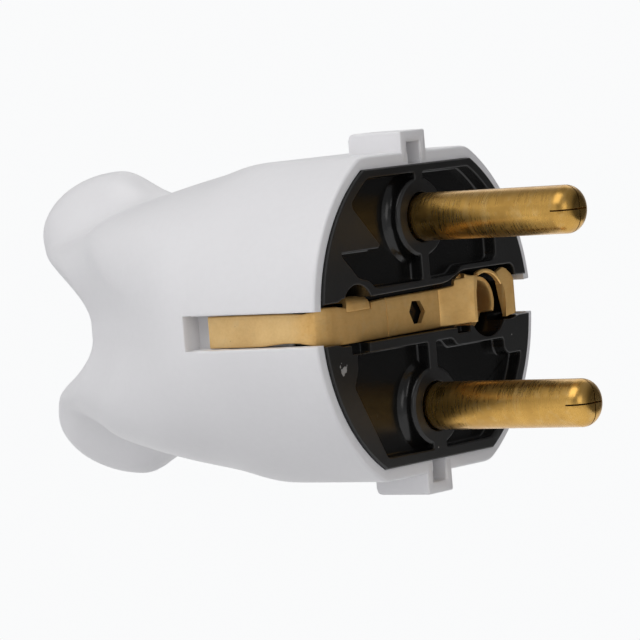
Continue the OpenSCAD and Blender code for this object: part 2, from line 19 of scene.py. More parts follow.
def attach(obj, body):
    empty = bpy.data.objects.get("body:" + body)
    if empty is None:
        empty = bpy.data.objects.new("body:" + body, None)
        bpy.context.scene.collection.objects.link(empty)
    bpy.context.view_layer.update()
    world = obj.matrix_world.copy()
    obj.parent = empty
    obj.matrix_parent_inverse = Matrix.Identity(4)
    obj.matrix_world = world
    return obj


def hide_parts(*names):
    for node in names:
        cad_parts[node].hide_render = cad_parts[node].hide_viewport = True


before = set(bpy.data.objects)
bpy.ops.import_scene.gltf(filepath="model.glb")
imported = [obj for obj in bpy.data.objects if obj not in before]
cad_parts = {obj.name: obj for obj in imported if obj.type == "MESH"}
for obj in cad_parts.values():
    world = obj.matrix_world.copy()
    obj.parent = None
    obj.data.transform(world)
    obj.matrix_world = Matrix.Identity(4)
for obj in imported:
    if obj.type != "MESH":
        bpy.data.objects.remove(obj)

logging.basicConfig(level=logging.INFO, format="%(message)s")
log = logging.getLogger("plug")

MM = 0.001
TURN_STEPS = 96
SHARP_ANGLE = math.radians(38)
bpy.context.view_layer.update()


class Slot(Enum):
    """The record's material slots."""

    WHITE = "white_plastic"
    BLACK = "black_plastic"
    PIN = "pin_brass"
    STRIP = "strip_brass"
    TERMINAL = "terminal_brass"
    STEEL = "screw_steel"
    GRIP = "grip_plastic"


# Shapes


def ease(t: np.ndarray | float) -> np.ndarray:
    """A smooth step: 0 below t = 0, 1 above t = 1, and 3 t^2 - 2 t^3 between."""
    c = np.clip(t, 0.0, 1.0)
    return c * c * (3.0 - 2.0 * c)


def grid_faces(rows: int, columns: int, wraps: bool) -> np.ndarray:
    """Index quads of a grid of points, row by row.

    Args:
        rows: number of rows of points.
        columns: number of points in a row.
        wraps: whether each row closes on itself.

    Returns:
        An array of quads, four point numbers each.
    """
    last = columns if wraps else columns - 1
    r, c = np.meshgrid(np.arange(rows - 1), np.arange(last), indexing="ij")
    a, b = r * columns + c, r * columns + (c + 1) % columns
    return np.stack([a, b, b + columns, a + columns], -1).reshape(-1, 4)


def new_object(name: str, points: np.ndarray, faces: list, tidy: bool = True) -> bpy.types.Object:
    """Make a mesh object from points in millimetres.

    Args:
        name: the piece's name.
        points: an array of points, three numbers each.
        faces: lists of point numbers.
        tidy: whether double points are merged and the faces turned outwards.

    Returns:
        The new object, at the origin, with its place in its mesh.
    """
    mesh = bpy.data.meshes.new(name)
    mesh.from_pydata((points.reshape(-1, 3) * MM).tolist(), [], [list(map(int, f)) for f in faces])
    if tidy:
        tidy_mesh(mesh)
    mesh.shade_smooth()
    mesh.set_sharp_from_angle(angle=SHARP_ANGLE)
    piece = bpy.data.objects.new(name, mesh)
    bpy.context.collection.objects.link(piece)
    return piece


def tidy_mesh(mesh: bpy.types.Mesh, flatten: bool = False) -> None:
    """Merge a mesh's double points and turn its faces outwards.

    Args:
        mesh: the mesh to change.
        flatten: whether neighbouring faces in one plane are joined as well.
    """
    work = bmesh.new()
    work.from_mesh(mesh)
    bmesh.ops.remove_doubles(work, verts=work.verts, dist=1e-7)
    if flatten:
        bmesh.ops.dissolve_limit(
            work, angle_limit=math.radians(0.4), verts=work.verts, edges=work.edges
        )
    bmesh.ops.recalc_face_normals(work, faces=work.faces)
    work.to_mesh(mesh)
    work.free()


def soften(piece: bpy.types.Object, width: float, angle: float = 35, segments: int = 2) -> None:
    """Round a piece's edges with a Bevel modifier.

    Args:
        piece: the piece.
        width: width of the rounding in millimetres.
        angle: edges sharper than this many degrees are rounded.
        segments: number of faces across the rounding.
    """
    bevel = piece.modifiers.new("edge_round", "BEVEL")
    bevel.width = width * MM
    bevel.segments = segments
    bevel.limit_method = "ANGLE"
    bevel.angle_limit = math.radians(angle)
    bevel.miter_outer = "MITER_ARC"
    bevel.harden_normals = True
    bevel.use_clamp_overlap = True


def apply_modifiers(piece: bpy.types.Object) -> None:
    """Turn a piece's live modifiers into its mesh."""
    depth = bpy.context.evaluated_depsgraph_get()
    mesh = bpy.data.meshes.new_from_object(piece.evaluated_get(depth))
    piece.modifiers.clear()
    piece.data = mesh


def cut(piece: bpy.types.Object, tool: bpy.types.Object) -> None:
    """Take a tool's volume out of a piece, and remove the tool."""
    boolean = piece.modifiers.new("cut", "BOOLEAN")
    boolean.operation = "DIFFERENCE"
    boolean.solver = "EXACT"
    boolean.use_hole_tolerant = False
    boolean.object = tool
    bpy.context.view_layer.update()
    apply_modifiers(piece)
    bpy.data.objects.remove(tool)


def box_tool(x: tuple, y: tuple, z: tuple) -> bpy.types.Object:
    """A box to cut with, given by its limits."""
    corner = np.array([[i, j, k] for i in (0, 1) for j in (0, 1) for k in (0, 1)])
    low, high = np.array([x[0], y[0], z[0]]), np.array([x[1], y[1], z[1]])
    quads = [[0, 1, 3, 2], [4, 6, 7, 5], [0, 4, 5, 1], [2, 3, 7, 6], [0, 2, 6, 4], [1, 5, 7, 3]]
    return new_object("cutter", low + corner * (high - low), quads)


def closed_tube(name: str, rings: np.ndarray) -> bpy.types.Object:
    """Join closed rings of points into a tube, with a flat face over each end.

    Args:
        name: the piece's name.
        rings: the rings, with as many points in each.

    Returns:
        The new object.
    """
    count = rings.shape[1]
    faces = grid_faces(len(rings), count, True).tolist()
    faces.append(list(range(count))[::-1])
    faces.append([(len(rings) - 1) * count + i for i in range(count)])
    return new_object(name, rings, faces)


def turned_solid(name: str, outline: np.ndarray, axis_z: float) -> bpy.types.Object:
    """Turn an outline of (x, radius) round a line along x at a height.

    Args:
        name: the piece's name.
        outline: steps of x and radius; both ends lie on the axis, or on each other.
        axis_z: height of the axis.

    Returns:
        The new object.
    """
    a = np.linspace(0, 2 * math.pi, TURN_STEPS, endpoint=False)
    x, r = outline[:, :1], outline[:, 1:]
    points = np.stack([np.repeat(x, TURN_STEPS, 1), r * np.cos(a), axis_z + r * np.sin(a)], -1)
    return new_object(name, points, grid_faces(len(outline), TURN_STEPS, True))


def swept_prism(
    name: str, outline: np.ndarray, profile: np.ndarray, place: Callable[[np.ndarray], np.ndarray]
) -> bpy.types.Object:
    """Carry a flat outline along a profile of (inset, height) steps and close both ends.

    Each ring is the outline moved inwards by the inset along its corner normals, at the height.

    Args:
        name: the piece's name.
        outline: the outline's points in the plane, against the clock.
        profile: steps of inset and height.
        place: turns points (a, b, height) into model points.

    Returns:
        The new object.
    """
    before = outline - np.roll(outline, 1, 0)
    after = np.roll(outline, -1, 0) - outline
    n1 = np.stack([-before[:, 1], before[:, 0]], 1) / np.hypot(before[:, 0], before[:, 1])[:, None]
    n2 = np.stack([-after[:, 1], after[:, 0]], 1) / np.hypot(after[:, 0], after[:, 1])[:, None]
    mid = (n1 + n2) / (1.0 + (n1 * n2).sum(1))[:, None]
    rings = [
        np.column_stack([outline + inset * mid, np.full(len(outline), height)])
        for inset, height in profile
    ]
    points = place(np.concatenate(rings))
    return closed_tube(name, points.reshape(len(rings), len(outline), 3))


def rounded_corners(corners: list, radius: float, steps: int = 5) -> np.ndarray:
    """Round a polygon's corners with arcs that start `radius` before each corner.

    Each arc is the parabola through the two starts that leans on the corner.

    Args:
        corners: the polygon's corners.
        radius: distance of the arc's ends from the corner.
        steps: points on each arc.

    Returns:
        The rounded outline.
    """
    p = np.array(corners, float)
    before, after = np.roll(p, 1, 0) - p, np.roll(p, -1, 0) - p
    la, lb = np.hypot(*before.T), np.hypot(*after.T)
    r = np.minimum(radius, 0.45 * np.minimum(la, lb))[:, None]
    a, b = p + before / la[:, None] * r, p + after / lb[:, None] * r
    t = np.linspace(0, 1, steps)[None, :, None]
    arc = (1 - t) ** 2 * a[:, None] + 2 * t * (1 - t) * p[:, None] + t**2 * b[:, None]
    return arc.reshape(-1, 2)


def edge_steps(low: float, high: float, radius: float, steps: int = 4) -> np.ndarray:
    """Steps of (inset, height) for a straight wall with a quarter round at each end."""
    a = np.linspace(0, math.pi / 2, steps)
    first = np.column_stack([radius * (1 - np.sin(a)), low + radius * (1 - np.cos(a))])
    last = np.column_stack([radius * (1 - np.cos(a)), high - radius * (1 - np.sin(a))])
    return np.concatenate([first, last])


# Finishes


class Nodes:
    """A short way to write a material's node tree."""

    def __init__(self, name: str) -> None:
        """Start a material with one Principled shader."""
        self.material = bpy.data.materials.new(name)
        self.material.use_nodes = True
        self.tree = self.material.node_tree
        self.shader = self.tree.nodes["Principled BSDF"]
        self.place = self.add("ShaderNodeTexCoord").outputs["Object"]

    def add(self, kind: str, **values: object) -> bpy.types.Node:
        """Add a node.

        Args:
            kind: the node's type.
            values: its properties, or its inputs where no property has that name.

        Returns:
            The new node.
        """
        node = self.tree.nodes.new(kind)
        for key, value in values.items():
            if hasattr(node, key):
                setattr(node, key, value)
            else:
                node.inputs[key.replace("_", " ")].default_value = value
        return node

    def link(self, source: bpy.types.NodeSocket, node: bpy.types.Node, name: str | int) -> None:
        """Join an output to a node's input."""
        self.tree.links.new(source, node.inputs[name])

    def scaled(self, scale: tuple, turn: tuple = (0.0, 0.0, 0.0)) -> bpy.types.NodeSocket:
        """The object's coordinates, turned and stretched."""
        mapping = self.add("ShaderNodeMapping")
        mapping.inputs["Rotation"].default_value = turn
        mapping.inputs["Scale"].default_value = scale
        self.link(self.place, mapping, "Vector")
        return mapping.outputs["Vector"]

    def axis(self, letter: str) -> bpy.types.NodeSocket:
        """One of the object's coordinates, in metres."""
        split = self.add("ShaderNodeSeparateXYZ")
        self.link(self.place, split, 0)
        return split.outputs[letter]

    def noise(
        self, scale: float, detail: float = 3.0, rough: float = 0.55, where: object = None
    ) -> bpy.types.NodeSocket:
        """Noise of a scale in features per metre."""
        node = self.add("ShaderNodeTexNoise", Scale=scale, Detail=detail, Roughness=rough)
        self.link(where or self.place, node, "Vector")
        return node.outputs["Fac"]

    def band(
        self, source: bpy.types.NodeSocket, low: float, high: float, to: tuple = (0.0, 1.0)
    ) -> bpy.types.NodeSocket:
        """Stretch a value's range from low..high to another one, and hold it there."""
        node = self.add("ShaderNodeMapRange", clamp=True)
        for key, value in zip((1, 2, 3, 4), (low, high, *to)):
            node.inputs[key].default_value = value
        self.link(source, node, 0)
        return node.outputs[0]

    def maths(self, operation: str, a: object, b: object) -> bpy.types.NodeSocket:
        """Combine two values."""
        node = self.add("ShaderNodeMath", operation=operation)
        for index, value in enumerate((a, b)):
            if isinstance(value, (int, float)):
                node.inputs[index].default_value = value
            else:
                self.link(value, node, index)
        return node.outputs[0]

    def mix(self, factor: bpy.types.NodeSocket, a: object, b: object) -> bpy.types.NodeSocket:
        """Blend two colours, each an (r, g, b) or an output."""
        node = self.add("ShaderNodeMix", data_type="RGBA")
        self.link(factor, node, 0)
        for index, value in ((6, a), (7, b)):
            if isinstance(value, tuple):
                node.inputs[index].default_value = (*value, 1.0)
            else:
                self.link(value, node, index)
        return node.outputs[2]

    def specks(self, cells: float, share: float, size: float) -> bpy.types.NodeSocket:
        """Round specks in a share of the cells of a Voronoi pattern.

        Args:
            cells: cells per metre.
            share: share of the cells that hold a speck.
            size: a speck's radius in cells.

        Returns:
            1 in a speck and 0 outside.
        """
        node = self.add("ShaderNodeTexVoronoi", Scale=cells)
        self.link(self.place, node, "Vector")
        split = self.add("ShaderNodeSeparateColor")
        self.link(node.outputs["Color"], split, "Color")
        chosen = self.maths("LESS_THAN", split.outputs["Red"], share)
        spread = self.maths("MULTIPLY", split.outputs["Green"], size)
        near = self.maths("LESS_THAN", node.outputs["Distance"], spread)
        return self.maths("MULTIPLY", chosen, near)

    def bump(self, height: bpy.types.NodeSocket, depth: float, under: object = None) -> object:
        """Bump from a height of 0..1 times a depth in metres, over another bump."""
        node = self.add("ShaderNodeBump", Strength=1.0, Distance=depth)
        self.link(height, node, "Height")
        if under is not None:
            self.link(under, node, "Normal")
        self.link(node.outputs["Normal"], self.shader, "Normal")
        return node.outputs["Normal"]


# Near-black colour that paints shade into the side slots of the white housing.
SLOT_SHADE_PAINT_COLOUR = (0.1, 0.095, 0.09)


@dataclass(frozen=True)
class Moulding:
    """A moulded plastic.

    It has a large soft change of tone, a fine erosion grain, sparse specks of dirt and scuffs that
    change both its gloss and its bump. It can be duller where it stands proud, near the plane x = 0,
    and painted lighter there, which leaves painted shade in the recesses behind that plane. It can
    also have painted shade inside the housing's two side slots.
    """

    name: str
    colour: tuple
    shade: tuple
    speck: tuple
    roughness: tuple
    grain: float
    speck_share: float
    specular: float = 0.5
    # Colour painted on the proud face near x = 0, lighter than the painted shade of the recesses.
    proud: tuple | None = None
    proud_dulling: float = 0.0
    painted_shade_in_slots: float | None = None
    fleck: tuple | None = None

    def material(self) -> bpy.types.Material:
        """Build the material."""
        n = Nodes(self.name)
        tone = n.band(n.noise(55.0, 2.0), 0.3, 0.7)
        mottle = n.band(n.noise(1500.0, 4.0, 0.6), 0.35, 0.65)
        colour = n.mix(n.maths("MULTIPLY", tone, 0.6), self.colour, self.shade)
        colour = n.mix(n.maths("MULTIPLY", mottle, 0.3), colour, self.shade)
        scuffs = n.noise(900.0, 3.0, 0.6, n.scaled((1.0, 5.0, 1.0), (0.2, 0.1, 0.5)))
        scuffed = n.band(scuffs, 0.55, 0.75, (0.0, 0.08))
        gloss = n.maths("ADD", n.band(n.noise(140.0), 0.3, 0.7, self.roughness), scuffed)
        if self.proud:
            level = n.band(n.axis("X"), -0.0004, -0.0001)
            gloss = n.maths("ADD", gloss, n.maths("MULTIPLY", level, self.proud_dulling))
            # Painted shade: below x = -0.4 mm, in the pockets and channel, the black keeps its darker
            # colour, and the proud face is painted lighter.
            colour = n.mix(level, colour, self.proud)
        # Painted shade: the inside of the side slots is darkened towards a near-black.
        if self.painted_shade_in_slots:
            colour = n.mix(n.maths("MULTIPLY", self.slot_shade_mask(n), self.painted_shade_in_slots), colour, SLOT_SHADE_PAINT_COLOUR)
        specks = n.specks(420.0, self.speck_share, 0.05)
        if self.fleck:
            specks = n.maths("MAXIMUM", specks, self.scraped(n))
        n.link(n.mix(specks, colour, self.speck), n.shader, "Base Color")
        n.link(gloss, n.shader, "Roughness")
        n.shader.inputs["Specular IOR Level"].default_value = self.specular
        under = n.bump(n.noise(4200.0, 2.0), self.grain * 1e-6)
        n.bump(n.noise(380.0, 3.0), self.grain * 2.2e-6, under)
        return n.material

    def slot_shade_mask(self, n: Nodes) -> bpy.types.NodeSocket:
        """Where shade is painted: 1 inside the two side slots and 0 outside, in metres on the housing.
        """
        low = n.band(n.maths("ABSOLUTE", n.axis("Z"), 0.0), 0.00168, 0.00172, (1.0, 0.0))
        deep = n.band(n.maths("ABSOLUTE", n.axis("Y"), 0.0), 0.0178, 0.0183, (1.0, 0.0))
        along = n.band(n.axis("X"), -0.0170, -0.0168)
        return n.maths("MULTIPLY", n.maths("MULTIPLY", low, deep), along)

    def scraped(self, n: Nodes) -> bpy.types.NodeSocket:
        """1 in a small ragged scrape round the fleck's place and 0 outside."""
        away = n.add("ShaderNodeVectorMath", operation="DISTANCE")
        n.link(n.place, away, 0)
        away.inputs[1].default_value = self.fleck
        torn = n.band(n.noise(1500.0), 0.4, 0.62, (0.0, 0.0007))
        return n.maths("LESS_THAN", n.maths("SUBTRACT", away.outputs["Value"], torn), 0.00008)


@dataclass(frozen=True)
class Brass:
    """A brass surface.

    It has tarnish in soft clouds, fine scratches drawn out along the way it was worked, small pits,
    and lighter worn places. It can turn paler over a range of x.
    """

    name: str
    colour: tuple
    tarnish: tuple
    pale: tuple
    roughness: tuple
    along: tuple
    scratch: float
    pits: float
    fade: tuple | None = None

    def material(self) -> bpy.types.Material:
        """Build the material."""
        n = Nodes(self.name)
        clouds = n.band(n.noise(330.0, 4.0, 0.6), 0.35, 0.7)
        worn = n.band(n.noise(900.0, 3.0, 0.6), 0.55, 0.8)
        lines = n.noise(900.0, 3.0, 0.65, n.scaled(self.along))
        fine = n.noise(3600.0, 2.0, 0.6, n.scaled(self.along))
        colour = n.mix(clouds, self.colour, self.tarnish)
        colour = n.mix(n.maths("MULTIPLY", worn, 0.35), colour, self.pale)
        colour = n.mix(n.band(lines, 0.55, 0.8, (0.0, 0.3)), colour, self.pale)
        if self.fade:
            colour = n.mix(n.band(n.axis("X"), *self.fade, (0.4, 0.0)), colour, self.pale)
        dots = n.specks(2600.0, self.pits, 0.16)
        pitted = tuple(0.35 * c for c in self.tarnish)
        n.link(n.mix(n.maths("MULTIPLY", dots, 0.6), colour, pitted), n.shader, "Base Color")
        n.shader.inputs["Metallic"].default_value = 1.0
        dull = n.band(clouds, 0.0, 1.0, self.roughness)
        n.link(n.maths("ADD", dull, n.band(fine, 0.4, 0.7, (0.0, 0.1))), n.shader, "Roughness")
        under = n.bump(lines, self.scratch * 1e-6)
        under = n.bump(fine, self.scratch * 0.4e-6, under)
        n.bump(n.maths("SUBTRACT", 1.0, dots), 8e-6, under)
        return n.material


WHITE = Moulding(
    name="white_moulding",
    colour=(0.78, 0.775, 0.79),
    shade=(0.735, 0.73, 0.745),
    speck=(0.25, 0.22, 0.2),
    roughness=(0.36, 0.46),
    grain=5.0,
    speck_share=0.02,
    # Painted shade inside the side slots.
    painted_shade_in_slots=0.12,
)
BLACK = Moulding(
    name="black_moulding",
    colour=(0.0045, 0.0045, 0.0043),
    shade=(0.0065, 0.0063, 0.006),
    speck=(0.3, 0.29, 0.28),
    roughness=(0.16, 0.24),
    grain=7.0,
    speck_share=0.04,
    specular=0.36,
    # Lighter black painted on the proud face, against painted shade in the recessed pockets; the dulling
    # below is a real change of gloss.
    proud=(0.012, 0.0118, 0.0115),
    proud_dulling=0.2,
    fleck=(0.0, -0.01491, -0.00419),
)
GRIP = Moulding(
    name="grip_moulding",
    colour=(0.03, 0.03, 0.03),
    shade=(0.045, 0.045, 0.045),
    speck=(0.1, 0.1, 0.1),
    roughness=(0.5, 0.6),
    grain=8.0,
    speck_share=0.02,
)
PIN_BRASS = Brass(
    name="turned_brass",
    colour=(0.56, 0.33, 0.085),
    tarnish=(0.42, 0.24, 0.06),
    pale=(0.66, 0.5, 0.25),
    roughness=(0.22, 0.3),
    along=(1.0, 0.12, 0.12),
    scratch=1.0,
    pits=0.05,
)
STRIP_BRASS = Brass(
    name="stamped_brass",
    colour=(0.78, 0.52, 0.21),
    tarnish=(0.66, 0.42, 0.155),
    pale=(0.68, 0.53, 0.3),
    roughness=(0.55, 0.65),
    along=(1.0, 0.35, 1.0),
    scratch=5.0,
    pits=0.06,
    fade=(-0.0045, -0.0022),
)
BLOCK_BRASS = Brass(
    name="machined_brass",
    colour=(0.66, 0.46, 0.2),
    tarnish=(0.5, 0.33, 0.14),
    pale=(0.8, 0.62, 0.34),
    roughness=(0.28, 0.4),
    along=(1.0, 0.3, 0.3),
    scratch=5.0,
    pits=0.05,
)
STEEL = Brass(
    name="zinc_plate",
    colour=(0.62, 0.62, 0.63),
    tarnish=(0.46, 0.46, 0.47),
    pale=(0.78, 0.78, 0.8),
    roughness=(0.24, 0.4),
    along=(1.0, 1.0, 1.0),
    scratch=3.0,
    pits=0.05,
)


# The plug's pieces


@dataclass
class Workshop:
    """Gives finished pieces their material, their place on the body and the node they stand for."""

    made: dict = field(default_factory=dict)

    def dress(self, piece: bpy.types.Object, finish: object) -> None:
        """Give an object its finish, built once for all that share it."""
        if finish.name not in self.made:
            self.made[finish.name] = finish.material()
        piece.data.materials.clear()
        piece.data.materials.append(self.made[finish.name])

    def hand_over(self, piece: bpy.types.Object, node: str, finish: object) -> None:
        """Let a piece ride on the body in place of a CAD node.

        Args:
            piece: the finished piece.
            node: the CAD node that it stands for.
            finish: its finish.
        """
        self.dress(piece, finish)
        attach(piece, "root")
        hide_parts(node)
        log.info("%s stands for %s, %d faces", piece.name, node, len(piece.data.polygons))

    def rounded_copy(self, node: str, name: str, width: float) -> bpy.types.Object:
        """Copy a CAD node, join its flat faces, and round its edges.

        Args:
            node: the CAD node.
            name: the new piece's name.
            width: width of the rounding in millimetres.

        Returns:
            The new object.
        """
        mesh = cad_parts[node].data.copy()
        tidy_mesh(mesh, flatten=True)
        mesh.shade_smooth()
        piece = bpy.data.objects.new(name, mesh)
        bpy.context.collection.objects.link(piece)
        soften(piece, width)
        return piece


@dataclass
class Housing:
    """The outer moulding: a round barrel with two flats that turns into a grip with two ears."""

    barrel_d: float = 37.0
    barrel_h: float = 32.3
    face_proud: float = 0.4
    front_round: float = 0.35
    side_length: float = 18.0
    side_bend: float = 4.0
    side_taper: float = 0.56
    flat_length: float = 12.0
    flat_bend: float = 9.0
    flat_taper: float = 0.295
    bow_from: float = 14.0
    tail_end: float = 38.2
    ear_back: float = 10.2
    ear_span: float = 32.0
    ear_root_at: float = 29.5
    ear_at: float = 38.8
    ear_tip_span: float = 20.4
    ear_w: float = 12.2
    ear_root_w: float = 9.0
    end_round: float = 3.4
    seat_d: float = 34.8
    seat_h: float = 29.7
    plate_t: float = 5.0
    cord_hole_d: float = 6.8
    slot_w: float = 3.4
    slot_reach: float = 16.85
    slot_depth: float = 2.4
    lug_w: float = 4.2
    lug_length: float = 6.5
    lug_h: float = 2.1
    lug_wall: float = 1.0
    lug_pocket_depth: float = 5.0
    lug_edge: float = 0.22
    lug_rear: float = 0.7
    way_at: float = 33.0
    room_at: float = 20.1
    room_r: float = 14.8
    room_z: float = 13.7

    def bow(self, u: float, share: np.ndarray | float) -> np.ndarray:
        """How far the ring at u bows back, for a height given as a share of the ring's own."""
        along = ease((u - self.bow_from) / (self.tail_end - self.bow_from))
        return self.ear_back * along * ease((share - 0.05) / 0.85)

    def side_y(self, u: float) -> float:
        """Half thickness of the body at u: straight, then a bend, then an even taper."""
        past = math.hypot(max(0.0, u - self.side_length), self.side_bend) - self.side_bend
        return self.barrel_d / 2 - self.side_taper * past

    def flat_z(self, u: float) -> float:
        """Half height of the body at u, without the ears."""
        past = max(0.0, u + float(self.bow(u, 0.7)) - self.flat_length)
        return self.barrel_h / 2 - self.flat_taper * (math.hypot(past, self.flat_bend) - self.flat_bend)

    def top_z(self, u: float) -> float:
        """Half height at u with the ears, which rise and then close in a quarter of an ellipse."""
        x = u + float(self.bow(u, 1.0))
        top, tip = self.ear_span / 2, self.ear_tip_span / 2
        if x < self.ear_at:
            rise = float(ease((x - self.ear_root_at) / (self.ear_at - self.ear_root_at)))
            return self.flat_z(u) + (top - self.flat_z(u)) * rise
        t = (x - self.ear_at) / (self.tail_end + self.ear_back - self.ear_at)
        return tip + (top - tip) * math.sqrt(max(0.0, 1 - t * t))

    def angles(self) -> np.ndarray:
        """Directions of a ring's points, close together at slots, pockets and the flats' corners."""
        r = self.barrel_d / 2
        corner = math.asin(self.barrel_h / self.barrel_d)
        near = self.slot_w / 2 + np.array([-1.7, -1.1, -0.5, -0.18, -0.05, -0.015, 0.0, 0.03, 0.1, 0.2])
        slot = np.arcsin(near / r)
        side = np.linspace(math.asin((self.slot_w / 2 + 0.45) / r), corner - 0.03, 34)
        edge = corner + np.array([-0.014, -0.006, 0.0, 0.006, 0.014])
        top = np.linspace(corner + 0.03, self.pocket_angle() - 0.04, 30)
        pocket = self.pocket_angle() + np.array([-0.02, -0.002, 0.0, 0.022, 0.045])
        quarter = np.concatenate([slot, side, edge, top, pocket])
        upper = np.concatenate([quarter, [math.pi / 2], math.pi - quarter[1:][::-1]])
        return np.concatenate([upper, upper + math.pi])

    def pocket_angle(self) -> float:
        """Direction of the lug pocket's edge on the flat."""
        return math.atan2(self.barrel_h / 2, self.lug_w / 2 - self.lug_wall + 0.03)

    def outer_ring(self, u: float, inset: float = 0.0) -> np.ndarray:
        """One ring of the outer skin.

        The body's outline is a circle cut by flats at the front and a rounded rectangle at the grip,
        and it is joined softly to the outline of the ears.

        Args:
            u: distance behind the face of the ring's middle.
            inset: how far the ring is drawn in.

        Returns:
            The ring's points.
        """
        a = self.angles()
        c, s = np.cos(a), np.sin(a)
        half_z, all_z, half_y = self.flat_z(u), self.top_z(u), self.side_y(u)
        w = float(ease((u - 10) / 18))
        n, k = 2 + 1.4 * w, 100 - 84 * w
        round_z, edge_z = self.barrel_d / 2 * (1 - w) + half_z * w, half_z * (1 + 0.25 * w)
        r = 1 / ((abs(c) / half_y) ** n + (abs(s) / round_z) ** n) ** (1 / n)
        top = round_z / (1 + (round_z / edge_z) ** k) ** (1 / k)
        r = r / (1 + (r * abs(s) / edge_z) ** k) ** (1 / k)
        y, z = r * c, r * s * half_z / top
        body = np.hypot(y, z)
        c, s = y / body, z / body
        k = 9.0
        rise = max(1e-9, all_z**k - half_z**k) ** (1 / k)
        widen = float(ease((u - self.ear_root_at) / (self.tail_end - self.ear_root_at)))
        thick = self.ear_root_w / 2 + (self.ear_w - self.ear_root_w) / 2 * widen
        ear = 1 / ((abs(c) / thick) ** 2.3 + (abs(s) / rise) ** 2.3) ** (1 / 2.3)
        r = (body**k + ear**k) ** (1 / k) - inset
        t = max(0.0, (u - self.tail_end + self.end_round) / self.end_round)
        cap = 0.45 + 0.55 * math.sqrt(max(0.0, 1 - t * t))
        x = -(u + self.bow(u, np.minimum(1, abs(r * s) / all_z)))
        y, z = r * c * cap, r * s
        if inset:
            steady = self.barrel_d / 2 * np.sin(a)
            by_slot = abs(steady) < self.slot_w / 2 + 0.25
            reach = np.sqrt(np.maximum(0, (self.barrel_d / 2 - inset) ** 2 - steady**2))
            y = np.where(by_slot, np.sign(y) * reach, y)
            z = np.where(by_slot, steady, z)
        return self.pressed(np.column_stack([x, y, z]))

    def pressed(self, ring: np.ndarray) -> np.ndarray:
        """Press the side slots and the lug pockets into a ring, with rounded slot edges.

        A slot goes down to its floor, or ahead of the carrier's back to the seat's own surface.
        """
        reach = -ring[:, 0]
        through = reach < self.plate_t - 0.01
        floor = np.where(
            through,
            np.sqrt(self.seat_d**2 / 4 - np.minimum(ring[:, 2] ** 2, 4.0)),
            self.barrel_d / 2 - self.slot_depth,
        )
        at = np.array([-0.05, -0.015, 0.0, 0.03, 0.1, 0.2])
        depth = np.array([1.0, 0.94, 0.075, 0.03, 0.008, 0.0])
        share = np.minimum(
            np.interp(abs(ring[:, 2]) - self.slot_w / 2, at, depth),
            np.interp(reach - self.slot_reach, at, depth),
        )
        y = abs(ring[:, 1])
        ring[:, 1] = np.sign(ring[:, 1]) * (y - share * np.maximum(0, y - floor))
        in_pocket = abs(np.sin(self.angles())) > math.sin(self.pocket_angle()) - 1e-6
        in_pocket &= reach < self.face_proud + self.lug_pocket_depth + 0.01
        z = abs(ring[:, 2])
        ring[:, 2] = np.sign(ring[:, 2]) * np.where(in_pocket, np.minimum(z, self.seat_h / 2 + 0.03), z)
        return ring

    def inner_ring(self, u: float, r: float, half_z: float) -> np.ndarray:
        """One ring of the inside: a circle cut by two flats, with a point on each corner."""
        a = self.angles()
        base = math.asin(self.barrel_h / self.barrel_d)
        corner = math.asin(min(1.0, half_z / r))
        q = np.arcsin(abs(np.sin(a)))
        past = (q - base) * (math.pi / 2 - corner) / (math.pi / 2 - base)
        q = np.where(q < base, q * corner / base, corner + past)
        reach = np.minimum(r, half_z / np.maximum(1e-9, np.sin(q)))
        y, z = np.sign(np.cos(a)) * reach * np.cos(q), np.sign(np.sin(a)) * reach * np.sin(q)
        outer_z = self.barrel_d / 2 * np.sin(a)
        by_slot = (abs(outer_z) < self.slot_w / 2 + 0.25) & (r > 10)
        z = np.where(by_slot, outer_z, z)
        y = np.where(by_slot, np.sign(np.cos(a)) * np.sqrt(np.maximum(0, r**2 - z**2)), y)
        return np.column_stack([np.full(len(a), -u), y, z])

    def seat_ring(self, u: float) -> np.ndarray:
        """One ring of the carrier's seat, which meets the slot's floor where the slot goes through."""
        ring = self.inner_ring(u, self.seat_d / 2, self.seat_h / 2)
        if u > self.plate_t - 0.01:
            floor = abs(ring[:, 2]) < self.slot_w / 2 - 0.049
            side_floor = self.barrel_d / 2 - self.slot_depth
            ring[:, 1] = np.where(floor, np.sign(ring[:, 1]) * side_floor, ring[:, 1])
        return ring

    def end_rings(self) -> list:
        """Rings from the outer skin's last one in to the cord's way, all on the bowed end surface."""
        last = self.outer_ring(self.tail_end)
        all_z = self.top_z(self.tail_end)
        a = np.arctan2(last[:, 2], last[:, 1])
        hole = self.cord_hole_d / 2 * np.column_stack([np.cos(a), np.sin(a)])
        rings = []
        for t in (0.08, 0.25, 0.5, 0.75, 0.94, 1.0):
            yz = (1 - t) * last[:, 1:] + t * hole
            x = -(self.tail_end + self.bow(self.tail_end, np.minimum(1, abs(yz[:, 1]) / all_z)))
            rings.append(np.column_stack([x, yz]))
        return rings

